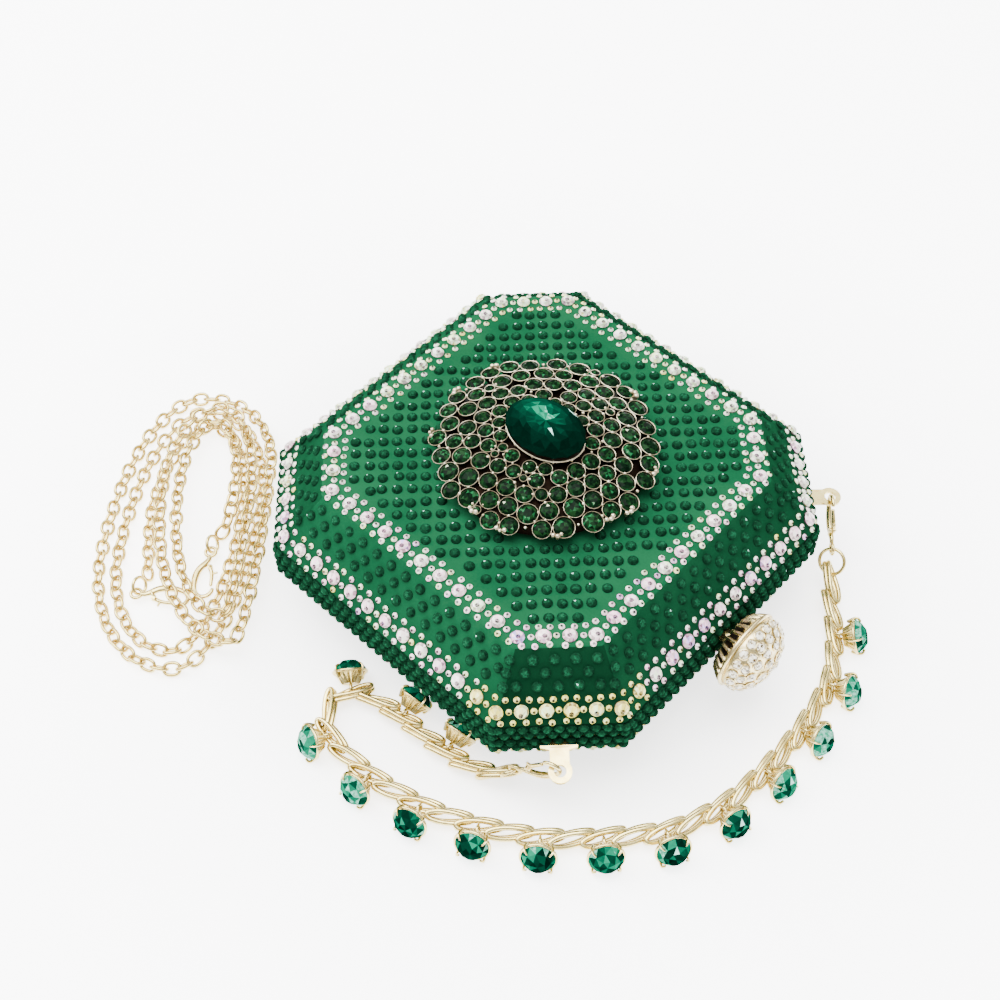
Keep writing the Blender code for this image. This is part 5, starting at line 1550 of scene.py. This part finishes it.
        # The bezel is painted near black, a painted shade round the centre stone.
        stack.build("centre_bezel", self.finishes.shadow, "lid", Slot.ANTIQUE, 50, ("brooch_bezel",))
        trim, up = Stack(), np.array([0.0, 0.0, 1.0])
        line = self.oval(length * 0.965, width * 0.955, low + 0.0012, around(steps))
        loop(trim, line, np.tile(up, (steps, 1)), 0.00026, 6)
        for place in self.oval(length * 0.97, width * 0.96, low + 0.0012, around(12, 0.5)):
            self.bead(trim, place, up, 0.00045)
        trim.build("centre_trim", self.finishes.antique, "lid", Slot.ANTIQUE, 60)
        self.oval_stone(high - 0.0009, length * 0.995, width * 0.99)

    def oval_stone(self, girdle: float, length: float, width: float) -> None:
        """Cut the centre stone, with a painted highlight where its back facets would throw the light back.

        Args:
            girdle: the girdle's height.
            length: its half length.
            width: its half width.
        """
        rng = np.random.default_rng(23)
        n, crown = 16, 0.0036
        levels = (
            (0.94, -0.0006, 0.0), (1.0, 0.0, 0.0), (0.985, 0.0003, 0.0), (0.86, crown * 0.50, 0.5),
            (0.66, crown * 0.86, 0.0), (0.50, crown, 0.5), (0.26, crown * 1.02, 0.0),
        )
        rings = [
            self.oval(length * share, width * share, girdle + rise, around(n, shift))
            for share, rise, shift in levels
        ]
        plan = np.vstack([*rings, [[0.0, 0.0, girdle + crown * 1.02]]])
        faces, painted_lights = [], []
        for row in range(len(levels) - 1):
            lower, upper = row * n, (row + 1) * n
            ahead = levels[row][2] > levels[row + 1][2]
            for k in range(n):
                j = (k + 1) % n
                if ahead:
                    faces += [(lower + k, lower + j, upper + j), (lower + k, upper + j, upper + k)]
                else:
                    faces += [(lower + k, lower + j, upper + k), (lower + j, upper + j, upper + k)]
        top = (len(levels) - 1) * n
        faces += [(top + k, top + (k + 1) % n, len(plan) - 1) for k in range(n)]
        for face in faces:
            middle = plan[list(face)].mean(axis=0)
            far = math.hypot(middle[0] / length, middle[1] / width)
            # Painted highlight: facets near the glow centre are painted brighter, and a few painted glints
            # are set to full.
            lit = math.exp(-(((middle[:2] - self.glow) / self.glow_reach) ** 2).sum())
            painted_light = 0.06 + 0.84 * lit + rng.uniform(-0.26, 0.26) * (1.15 - far)
            painted_lights.append(min(max(painted_light, 0.02), 0.93) if rng.random() > 0.02 else 1.0)
        stack = Stack()
        stack.add(plan, faces, painted_lights)
        stack.build("centre_emerald", self.finishes.emerald, "lid", Slot.EMERALD, replaces=("centre_stone",))


@dataclass
class Knob:
    """The push knob: a pleated gold cap and a dome set with clear stones."""

    finishes: Finishes
    root: float = 0.0790
    seam: float = 0.0270
    radius: float = 0.0134
    neck: float = 0.0102
    flutes: int = 24
    flute_depth: float = 0.0020
    dome: float = 0.0122
    dome_foot: float = 0.0012
    dome_height: float = 0.0081
    rows: tuple[tuple[int, float, float], ...] = (
        (20, 0.13, 0.00160), (16, 0.33, 0.00166), (11, 0.54, 0.00172), (5, 0.78, 0.0018), (1, 1.0, 0.0017),
    )

    def build(self) -> None:
        """Make the cap, the painted shade in its folds, the dome and the dome's stones."""
        axis = np.array([1.0, 0.0, 0.0])
        origin = np.array([self.root, 0.0, self.seam])
        self.cap(origin, axis)
        self.set_dome(origin + axis * 0.0050, axis)

    def cap(self, origin: np.ndarray, axis: np.ndarray) -> None:
        """Make the pleated cap, and the dark form inside, a painted shade that shows between its pleats.

        Args:
            origin: the middle of its back.
            axis: the way that the knob points.
        """
        cap, core = Stack(), Stack()
        neck, radius = self.neck, self.radius
        skirt = [(0.0, 0.0040), (-0.0003, neck - 0.0006), (0.0, neck + 0.0002), (0.0012, neck + 0.0010)]
        skirt += [(0.0024, neck + 0.0020), (0.0038, radius - 0.0004), (0.0044, radius - 0.0012)]
        turned(cap, skirt, origin, axis, 240, self.flutes, self.flute_depth)
        rim = [
            (0.0046 + 0.0007 * math.sin(a), radius - 0.0008 + 0.0007 * math.cos(a))
            for a in np.linspace(-math.pi / 2, math.pi / 2, 9)
        ]
        turned(cap, [(0.0036, 0.0104), *rim, (0.0053, 0.0118)], origin, axis, 72)
        cap.build("knob_pleated_cap", self.finishes.cream, "knob", Slot.GOLD, 50, ("knob_cap",))
        folds = [(0.0002, 0.0030), (0.0004, neck - 0.0006), (0.0030, neck + 0.0016), (0.0032, 0.0090)]
        turned(core, folds, origin, axis, 48)
        core.build("knob_fold_shadow", self.finishes.shadow, "knob", Slot.GOLD, 50, ("knob_cap",))

    def set_dome(self, base: np.ndarray, axis: np.ndarray) -> None:
        """Make the dome and set rings of clear stones in it.

        Args:
            base: the middle of the dome's back.
            axis: the way that the knob points.
        """
        dome, stones = Stack(), Stack()
        profile = [(0.0, self.dome - 0.0003), (0.0004, self.dome)]
        for k in range(13):
            a = math.pi / 2 * k / 12.3
            profile.append((self.dome_foot + self.dome_height * math.sin(a), self.dome * math.cos(a)))
        turned(dome, profile, base, axis, 64)
        rng = np.random.default_rng(17)
        for row, (count, share, size) in enumerate(self.rows):
            a = share * math.pi / 2
            rise, reach = self.dome_foot + self.dome_height * math.sin(a), self.dome * math.cos(a)
            for turn in around(count, 0.5 * (row % 2)):
                round_way = np.array([0, math.cos(turn), math.sin(turn)])
                place = base + axis * rise + round_way * reach
                way = unit(axis * math.sin(a) / self.dome_height * self.dome + round_way * math.cos(a))
                torus(dome, place + way * 0.0001, way, size, 0.00024, 14, 6)
                foot = (place - way * 0.0001)[None]
                # Most of the knob's crystals get a painted glint.
                CLEAR_CUT.add(stones, foot, way[None], size * 0.9, 0.0010, rng, swing=0.5, flash=0.6)
        dome.build("knob_gold_dome", self.finishes.cream, "knob", Slot.GOLD, 50)
        stones.build("knob_crystals", self.finishes.crystal, "knob", Slot.KNOB, replaces=("knob_dome",))


@dataclass
class Clasp:
    """A trigger clasp: a hook, its eye and its sprung lever."""

    prefix: str
    tail: tuple[float, float, float]
    along: tuple[float, float, float]
    level: tuple[float, float, float]
    finishes: Finishes
    reach: float = 0.0176
    eye_radius: float = 0.0018
    eye_wire: float = 0.0006
    pivot: tuple[float, float] = (0.0062, 0.0009)
    line: tuple[tuple[float, float, float], ...] = (
        (0.835, 0.170, 0.70), (0.900, 0.150, 0.78), (0.965, 0.095, 0.80), (1.000, 0.010, 0.80),
        (0.975, -0.085, 0.85), (0.890, -0.160, 1.00), (0.740, -0.200, 1.18), (0.560, -0.200, 1.25),
        (0.400, -0.155, 1.20), (0.270, -0.065, 1.15), (0.180, -0.010, 0.95), (0.100, 0.000, 0.80),
    )

    @property
    def axis(self) -> np.ndarray:
        """The way that the clasp's flat side faces."""
        return unit(np.array(self.level))

    def place(self, x: float, y: float, z: float = 0.0) -> np.ndarray:
        """A point of the clasp's own drawing, in the row frame."""
        a, c = unit(np.array(self.along)), self.axis
        return np.array(self.tail) + a * x + np.cross(c, a) * y + c * z

    def hook(self) -> bpy.types.Object:
        """Make the hook, its eye and its pivot pin.

        Returns:
            The hook.
        """
        x, y = self.pivot
        c = self.axis
        points = smooth_curve([self.place(u * self.reach, v * self.reach) for u, v, _ in self.line], 0.0005)
        share = np.linspace(0, 1, len(points))
        radii = np.interp(share, np.linspace(0, 1, len(self.line)), [r * MM for _, _, r in self.line])
        stack = Stack()
        sweep(stack, points, radii, 14, 0.85, c)
        torus(stack, self.place(0, 0), c, self.eye_radius, self.eye_wire, 24, 10)
        arm = [self.place(0.27 * self.reach, -0.065 * self.reach, -0.0007), self.place(x, y, -0.0007)]
        sweep(stack, np.array(arm), 0.00045, 10)
        cheek = ((0, 0.0007), (0.0001, 0.0009), (0.0008, 0.0009), (0.0009, 0.0007))
        turned(stack, cheek, self.place(x, y, -0.00115), c, 20)
        pin = ((0, 0.00035), (0.0018, 0.00035), (0.0020, 0.0002))
        turned(stack, pin, self.place(x, y, -0.0006), c, 12)
        name, nodes = f"{self.prefix}_hook", (f"{self.prefix}_claw",)
        return stack.build(name, self.finishes.gold, "case", Slot.GOLD, 55, nodes)

    def lever(self) -> bpy.types.Object:
        """Make the lever and its spur.

        Returns:
            The lever.
        """
        x, y = self.pivot
        mid = 0.00045
        nose = (0.835 * self.reach - 0.0017, 0.170 * self.reach - 0.00075)
        knee = (x + (nose[0] - x) * 0.4, y + (nose[1] - y) * 0.4 + 0.00048)
        ends = [self.place(x + 0.0005, y + 0.0002, mid), self.place(*knee, mid * 0.6), self.place(*nose)]
        path = smooth_curve(ends, 0.0004)
        stack = Stack()
        sweep(stack, path, np.linspace(0.00075, 0.0006, len(path)), 12)
        cheek = ((0, 0.0007), (0.0001, 0.00095), (0.0007, 0.00095), (0.0008, 0.0007))
        turned(stack, cheek, self.place(x, y, 0.00005), self.axis, 20)
        spur = [
            self.place(knee[0] - back, knee[1] + up, mid * 0.6)
            for back, up in ((0.0, 0.0), (0.0006, 0.0011), (0.0007, 0.0017))
        ]
        sweep(stack, smooth_curve(spur, 0.0003), 0.00042, 10)
        name, nodes = f"{self.prefix}_trigger_lever", (f"{self.prefix}_claw_lever",)
        return stack.build(name, self.finishes.gold, f"{self.prefix}_trigger", Slot.GOLD, 55, nodes)


@dataclass
class JumpRing:
    """A jump ring between a clasp and its cord."""

    prefix: str
    centre: tuple[float, float, float]
    normal: tuple[float, float, float]
    radius: float
    finishes: Finishes
    wire: float = 0.0006

    def build(self) -> bpy.types.Object:
        """Make the ring.

        Returns:
            The ring.
        """
        stack = Stack()
        torus(stack, np.array(self.centre), np.array(self.normal), self.radius, self.wire, 36, 10)
        name = f"{self.prefix.removeprefix('chain_')}_jump_ring"
        return stack.build(name, self.finishes.gold, "case", Slot.GOLD, 60, (f"{self.prefix}_ring",))


CLASPS = {
    "front": (
        (0.054327, -0.072809, 0.01328), (0.71698, 0.27091, 0.6423), (0.35346, -0.93545, 0.0),
    ),
    "right": (
        (0.077802, 0.057508, 0.014643), (-0.53779, 0.54699, 0.64154), (0.71308, 0.70108, 0.0),
    ),
    "chain_first": (
        (-0.087026, -0.108417, 0.0028), (0.7984, 0.59888, -0.06237), (-0.04989, -0.03742, -0.99805),
    ),
    "chain_second": (
        (-0.081551, -0.080302, 0.0028), (0.63447, -0.77041, -0.06261), (0.0398, -0.04833, 0.99804),
    ),
}
RINGS = {
    "front": ((0.052819, -0.073379, 0.01087), (-0.83369, 0.32833, 0.44403), 0.0029),
    "right": ((0.07999, 0.055282, 0.011686), (0.01602, -0.79315, 0.60882), 0.0043),
    "chain_first": ((-0.088297, -0.105881, 0.0034), (0.84633, 0.32421, 0.42262), 0.0029),
    "chain_second": ((-0.083226, -0.078012, 0.0034), (0.78057, 0.46055, 0.42262), 0.0029),
}


def cord_ends(prefixes: Sequence[str], finishes: Finishes) -> list[bpy.types.Object]:
    """Make the clasps and the jump rings at the two ends of a cord.

    Args:
        prefixes: the two clasps' names.
        finishes: the bag's finishes.

    Returns:
        Hooks and levers, and then the rings.
    """
    pieces = []
    for prefix in prefixes:
        clasp = Clasp(prefix, *CLASPS[prefix], finishes)
        pieces += [clasp.hook(), clasp.lever()]
    return pieces + [JumpRing(prefix, *RINGS[prefix], finishes).build() for prefix in prefixes]


@dataclass
class Strap:
    """The wrist strap: twisted links of two wires, with a stone drop on every second one."""

    finishes: Finishes
    pieces: list[bpy.types.Object] = field(default_factory=list)
    wire: float = 0.00084
    half_width: float = 0.0018
    overlap: float = 0.0023
    twist: float = 24.0
    lean: float = 46.0
    slant: float = 15.0
    back_offset: float = 0.0034
    cup_depth: float = 0.0045
    cup_radius: float = 0.0057
    back_radius: float = 0.0031
    flutes: int = 18
    flute_depth: float = 0.0006
    tilt: float = 20.0
    front_height: float = 0.0054
    stone_height: float = 0.0038
    route: tuple[tuple[float, float, float], ...] = (
        (0.052836, -0.073354, 0.009265),
        (0.0440, -0.0768, 0.0046), (0.0350, -0.0790, 0.0037), (0.0249, -0.0801, 0.0037),
        (0.0101, -0.0810, 0.0037), (-0.0020, -0.0832, 0.0037), (-0.0075, -0.0895, 0.0037),
        (-0.0040, -0.0972, 0.0037), (0.0055, -0.1010, 0.0037), (0.0223, -0.1008, 0.0037),
        (0.0407, -0.0968, 0.0037), (0.0569, -0.0898, 0.0037), (0.0733, -0.0795, 0.0037),
        (0.0875, -0.0659, 0.0037), (0.0991, -0.0517, 0.0037), (0.1059, -0.0340, 0.0037),
        (0.1080, -0.0154, 0.0037), (0.1076, 0.0030, 0.0037), (0.1038, 0.0225, 0.0037),
        (0.0945, 0.0378, 0.0042), (0.0870, 0.0465, 0.0062), (0.081146, 0.05446, 0.00927),
    )
    count: int = 33

    def places(self) -> tuple[np.ndarray, list[tuple[np.ndarray, np.ndarray, np.ndarray]]]:
        """Space the links along the route.

        Returns:
            The strap's line, and the centre, direction and outward side of each link.
        """
        fine = smooth_curve(self.route, 0.0002)
        total = np.linalg.norm(np.diff(fine, axis=0), axis=1).sum()
        half = smooth_curve(self.route, total / (2 * self.count + 0.001))
        found = []
        for i in range(1, len(half) - 1, 2):
            along = unit(half[i + 1] - half[i - 1])
            found.append((half[i], along, unit(np.array([along[1], -along[0], 0.0]))))
        return half, found

    def link(
        self, stack: Stack, centre: np.ndarray, along: np.ndarray, outward: np.ndarray, pitch: float
    ) -> None:
        """One twisted link of two wires side by side.

        Args:
            stack: where it goes.
            centre: its middle.
            along: the strap's direction there.
            outward: the side away from the case.
            pitch: the step between links.
        """
        steps = 32
        half_length = pitch / 2 + self.overlap
        slant = math.radians(self.slant)
        along = unit(along * math.cos(slant) - outward * math.sin(slant))
        up = unit(np.cross(along, outward))
        across = np.cross(up, along)
        angle = around(steps)
        roll = math.radians(self.lean) + math.radians(self.twist) * np.cos(angle)
        flat = np.cos(roll)[:, None] * across + np.sin(roll)[:, None] * up
        normals = np.cross(along, flat)
        line = centre + along * (half_length * np.cos(angle))[:, None]
        line = line + flat * (self.half_width * np.sin(angle))[:, None]
        for side in (-1, 1):
            loop(stack, line + normals * side * self.wire * 0.80, normals, self.wire, 10)

    def cup_frame(self, centre: np.ndarray, outward: np.ndarray) -> tuple[np.ndarray, np.ndarray]:
        """Hang a cup beside its link.

        Args:
            centre: the link's middle.
            outward: the side away from the case.

        Returns:
            The cup's back middle and its axis.
        """
        tilt = math.radians(self.tilt)
        axis = outward * math.cos(tilt) + np.array([0, 0, math.sin(tilt)])
        front = np.array([centre[0], centre[1], self.front_height])
        front = front + outward * (self.back_offset + self.cup_depth * math.cos(tilt))
        return front - axis * self.cup_depth, axis

    def cup(self, stack: Stack, back: np.ndarray, axis: np.ndarray, link: np.ndarray) -> None:
        """A pleated cup with four claws and the little loop that hangs it.

        Args:
            stack: where it goes.
            back: its back middle.
            axis: the way that it opens.
            link: the middle of the link that carries it.
        """
        r, back_r, depth = self.cup_radius, self.back_radius, self.cup_depth
        profile = [(0.0002, back_r * 0.7), (0.0, back_r - 0.0002), (0.0003, back_r)]
        profile += [(0.0020, back_r + 0.0010), (0.0036, r - 0.0001), (0.0038, r - 0.0006)]
        profile += [(0.0032, r - 0.0010), (0.0008, back_r - 0.0004)]
        turned(stack, profile, back, axis, 108, self.flutes, self.flute_depth)
        torus(stack, back + axis * (depth - 0.0006), axis, r - 0.0003, 0.0005, 36, 8)
        side = unit(np.cross(axis, (0.0, 0.0, 1.0)))
        up = np.cross(side, axis)
        spots = [(0.0022, r - 0.0006), (depth - 0.0003, r + 0.0002)]
        spots += [(depth + 0.0009, r + 0.0001), (depth + 0.0016, r - 0.0010)]
        for a in around(4, 0.5):
            out = math.cos(a) * side + math.sin(a) * up
            points = smooth_curve([back + axis * z + out * far for z, far in spots], 0.00035)
            sweep(stack, points, np.linspace(0.00058, 0.00042, len(points)), 8, 0.7, np.cross(out, axis))
        torus(stack, (back + link) / 2, side, 0.0017, 0.0005, 16, 8)

    def build(self) -> None:
        half, places = self.places()
        pitch = float(np.linalg.norm(places[10][0] - places[9][0]))
        chain, cups, stones = Stack(), Stack(), Stack()
        rng = np.random.default_rng(29)
        for centre, along, outward in places:
            self.link(chain, centre, along, outward, pitch)
        for k, (centre, _, outward) in enumerate(places[2:32:2]):
            back, axis = self.cup_frame(centre, outward)
            self.cup(cups, back, axis, centre)
            seat = back + axis * (self.cup_depth - 0.0008)
            cut, radius = PALE_CUT if k in (3, 4) or k > 10 else DROP_CUT, self.cup_radius - 0.0003
            height = self.stone_height
            # Half the drop stones get a painted glint.
            cut.add(stones, seat[None], axis[None], radius, height, rng, swing=0.42, spin=0.4, flash=0.5)
        links = chain.build("strap_links", self.finishes.gold, "case", Slot.GOLD, 60, ("strap_chain",))
        cup_piece = cups.build("strap_cups", self.finishes.gold, "case", Slot.GOLD, 50)
        drops = [f"drop_stone_{i:02d}" for i in range(1, 16)]
        emerald = self.finishes.emerald
        stone_piece = stones.build("strap_stones", emerald, "case", Slot.EMERALD, replaces=drops)
        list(smooth_curve(self.route, 0.004).tolist())
        list(self.route[-1])
        list(self.pieces)


@dataclass
class ShoulderChain:
    """The long cable chain, laid in loops beside the case."""

    finishes: Finishes
    pieces: list[bpy.types.Object] = field(default_factory=list)
    centre: tuple[float, float] = (-0.0947, -0.0800)
    turn: float = 43.07
    floor: float = 0.0023
    upper: float = 0.0072
    link_length: float = 0.0066
    link_width: float = 0.0053
    squareness: float = 0.85
    wire: float = 0.00060
    rolls: tuple[float, float] = (-40.0, 44.0)
    roll_stray: float = 0.14
    turns: tuple[tuple[str, float, float, int], ...] = (
        ("start", -0.0112, -0.0196, 0), ("left", -0.0136, 0.0044, 0), ("top", 0.0026, 0.0470, 0),
        ("right", 0.0184, 0.0119, 0), ("bottom", 0.0006, -0.0482, 0), ("left", -0.0225, -0.0105, 0),
        ("top", 0.0004, 0.0536, 0), ("right", 0.0246, 0.0152, 0), ("bottom", 0.0020, -0.0550, 0),
        ("left", -0.0285, -0.0104, 0), ("top", -0.0016, 0.0604, 0), ("right", 0.0276, 0.0227, 1),
        ("bottom", 0.0216, -0.0476, 1), ("left", -0.0100, 0.0175, 1), ("top", 0.0066, 0.0518, 1),
        ("right", 0.0214, 0.0128, 1), ("bottom", 0.0172, -0.0376, 1), ("left", -0.0041, 0.0174, 1),
        ("top", 0.0056, 0.0452, 1), ("right", 0.0156, 0.0173, 1), ("bottom", 0.0110, -0.0020, 0),
    )

    def point(self, u: float, v: float, z: float) -> np.ndarray:
        """Turn a place from the heap's own axes.

        Args:
            u: how far it lies across the heap.
            v: how far it lies along it.
            z: its height.

        Returns:
            The place beside the case.
        """
        a = math.radians(self.turn)
        x = self.centre[0] + u * math.cos(a) - v * math.sin(a)
        return np.array([x, self.centre[1] + u * math.sin(a) + v * math.cos(a), z])

    def line(self, steps: int) -> np.ndarray:
        """The chain's route, quarter by quarter.

        Args:
            steps: points in each quarter.

        Returns:
            The route's points.
        """
        points = []
        for here, after in zip(self.turns, self.turns[1:]):
            for t in np.arange(steps) / steps:
                ease = t**2 * (3 - 2 * t)
                rise, fall = math.sin(t * math.pi / 2), math.cos(t * math.pi / 2)
                if here[0] == "start":
                    u, v = here[1] + (after[1] - here[1]) * ease, here[2] + (after[2] - here[2]) * t
                elif here[0] in ("left", "right"):
                    u, v = after[1] + (here[1] - after[1]) * fall, here[2] + (after[2] - here[2]) * rise
                else:
                    u, v = here[1] + (after[1] - here[1]) * rise, after[2] + (here[2] - after[2]) * fall
                layer = here[3] + (after[3] - here[3]) * ease
                points.append(self.point(u, v, self.floor + (self.upper - self.floor) * layer))
        last = self.turns[-1]
        points.append(self.point(last[1], last[2], self.floor))
        return np.array(points)

    def link(self, stack: Stack, centre: np.ndarray, along: np.ndarray, roll: float) -> None:
        """One oval link.

        Args:
            stack: where it goes.
            centre: its middle.
            along: its long direction.
            roll: how far its flat side is turned from level, in radians.
        """
        c, s = np.cos(around(20)), np.sin(around(20))
        side = unit(np.cross(along, (0.0, 0.0, 1.0)))
        flat = math.cos(roll) * side + math.sin(roll) * np.cross(side, along)
        reach = (self.link_length / 2 - self.wire) * np.sign(c) * np.abs(c) ** self.squareness
        width = (self.link_width / 2 - self.wire) * np.sign(s) * np.abs(s) ** self.squareness
        line = centre + along * reach[:, None] + flat * width[:, None]
        loop(stack, line, np.tile(np.cross(along, flat), (20, 1)), self.wire, 7)

    def build(self) -> None:
        route = self.line(20)
        walked = np.concatenate([[0], np.cumsum(np.linalg.norm(np.diff(route, axis=0), axis=1))])
        total = float(walked[-1])
        count = int(total / (self.link_length - 4 * self.wire))
        stops = np.arange(2 * count + 1) * total / (2 * count)
        half = np.stack([np.interp(stops, walked, route[:, k]) for k in range(3)], 1)
        rng = np.random.default_rng(41)
        stack = Stack()
        for i in range(count):
            roll = math.radians(self.rolls[i % 2]) + rng.normal(0, self.roll_stray)
            self.link(stack, half[2 * i + 1], unit(half[2 * i + 2] - half[2 * i]), roll)
        gold = self.finishes.chain_gold
        chain = stack.build("shoulder_chain_links", gold, "case", Slot.GOLD, 70, ("shoulder_chain",))
        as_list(self.pieces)


@dataclass
class Hardware:
    """The plain nodes that keep their own shape."""

    finishes: Finishes
    edge_round: float = 0.00022
    edge_angle: float = 40.0

    def dress(self) -> None:
        """Give every remaining node its finish."""
        lugs = ("front_lug", "right_lug")
        table = (
            (self.finishes.gold, ("back_frame", "lid_frame", "hinge_pin", *lugs, "knob_shaft")),
            (self.finishes.steel, [f"latch_{part}" for part in ("bracket", "pin", "spring", "lever")]),
            (self.finishes.steel, ("strike_plate",)),
            (self.finishes.board, ("back_shell", "lid_shell")),
        )
        for material, nodes in table:
            for name in nodes:
                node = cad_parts[name]
                for place in node.material_slots:
                    place.material = material
                LOG.info("%s dressed", name)
        for name in lugs:
            self.soften(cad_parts[name])

    def soften(self, node: bpy.types.Object) -> None:
        """Round a node's edges.

        Args:
            node: the node.
        """
        bevel = node.modifiers.new("soft_edges", "BEVEL")
        bevel.width = self.edge_round
        bevel.segments = 2
        bevel.limit_method = "ANGLE"
        bevel.angle_limit = math.radians(self.edge_angle)


@dataclass
class Studio:
    """A pale floor, soft light and the camera at the photograph's angle."""

    camera: tuple[float, float, float] = (0.18402, -0.21258, 0.40856)
    right: tuple[float, float, float] = (0.73047, 0.68288, -0.00977)
    up: tuple[float, float, float] = (-0.54517, 0.59166, 0.59391)
    back: tuple[float, float, float] = (0.41135, -0.42850, 0.80448)
    lens: float = 51.41
    floor_reach: float = 3.0
    floor_strength: float = 5.8
    # Painted floor shadow: levels of the floor's glow by distance from the case's middle.
    painted_floor_shadow: tuple[tuple[float, float], ...] = ((0.0, 0.42), (0.085, 0.46), (0.13, 0.84), (0.20, 1.0))
    sky: tuple[tuple[float, Colour], ...] = (
        (0.0, (0.10, 0.10, 0.10)), (0.45, (0.32, 0.325, 0.33)), (1.0, (0.97, 0.98, 1.0)),
    )
    sky_strength: float = 2.6

    def build(self) -> None:
        """Set up the camera, the floor and the lights."""
        self.aim()
        self.floor()
        self.world()
        self.light("left_softbox", (-0.95, -0.30, 0.95), 0.9, 34.0)
        self.light("top_softbox", (-0.10, -0.05, 1.40), 1.0, 40.0)
        self.light("back_softbox", (-0.35, 0.95, 0.75), 0.5, 5.0)

    def floor(self) -> None:
        """Lay the floor, whose glow is dimmed under and around the case as a painted shadow."""
        p = Paint("pale_floor")
        cloud = p.noise(6.0, 2.0)
        colour = p.mix(cloud, (0.90, 0.90, 0.905), (0.93, 0.93, 0.93))
        far = p.node("ShaderNodeVectorMath", {"operation": "LENGTH"}, {0: p.place()}, "Value")
        # Painted shadow: the floor's glow falls off near the case by distance from the middle.
        shade = p.ramp(far, [(reach, (level,) * 3) for reach, level in self.painted_floor_shadow])
        glow = p.mix(1.0, colour, shade, "MULTIPLY")
        strength = self.floor_strength
        material = p.close(Base_Color=colour, Roughness=0.8, Emission_Color=glow, Emission_Strength=strength)
        mesh = bpy.data.meshes.new("floor")
        edge = self.floor_reach
        corners = [(-edge, -edge, 0), (edge, -edge, 0), (edge, edge, 0), (-edge, edge, 0)]
        mesh.from_pydata(corners, [], [(0, 1, 2, 3)])
        mesh.materials.append(material)
        floor = bpy.data.objects.new("floor", mesh)
        bpy.context.scene.collection.objects.link(floor)

    def world(self) -> None:
        """Light the room, brightest overhead and dim along the horizon."""
        world = bpy.data.worlds.new("studio")
        bpy.context.scene.world = world
        world.use_nodes = True
        p = Paint.over(world.node_tree)
        way = p.node("ShaderNodeTexCoord", output="Generated")
        height = p.node("ShaderNodeSeparateXYZ", None, {"Vector": way}, "Z")
        inputs = {"Color": p.ramp(height.clamped(), self.sky), "Strength": self.sky_strength}
        light = p.node("ShaderNodeBackground", None, inputs, "Background")
        p.node("ShaderNodeOutputWorld", None, {"Surface": light}, None)

    def light(self, name: str, place: tuple[float, float, float], size: float, power: float) -> None:
        """Hang one square light that faces the bag.

        Args:
            name: its name.
            place: where it hangs.
            size: its side.
            power: its power in watts.
        """
        data = bpy.data.lights.new(name, "AREA")
        data.size = size
        data.energy = power
        lamp = bpy.data.objects.new(name, data)
        lamp.location = place
        lamp.rotation_euler = (-Vector(place)).to_track_quat("-Z", "Y").to_euler()
        bpy.context.scene.collection.objects.link(lamp)

    def aim(self) -> None:
        """Place the camera."""
        data = bpy.data.cameras.new("camera")
        data.lens = self.lens
        data.sensor_width = 36.0
        data.clip_start = 0.01
        camera = bpy.data.objects.new("camera", data)
        matrix = Matrix((self.right, self.up, self.back)).transposed().to_4x4()
        matrix.translation = self.camera
        camera.matrix_world = matrix
        bpy.context.scene.collection.objects.link(camera)
        bpy.context.scene.camera = camera


def main() -> None:
    """Build every piece in order."""
    logging.basicConfig(level=logging.INFO, format="%(message)s")
    finishes = Finishes()
    Studio().build()
    CaseHalf("back", "case", False, finishes).build()
    CaseHalf("lid", "lid", True, finishes).build()
    Brooch(finishes).build()
    Knob(finishes).build()
    Hardware(finishes).dress()
    Strap(finishes, cord_ends(("front", "right"), finishes)).build()
    ShoulderChain(finishes, cord_ends(("chain_first", "chain_second"), finishes)).build()
    bpy.context.view_layer.update()


if __name__ == "__main__":
    main()
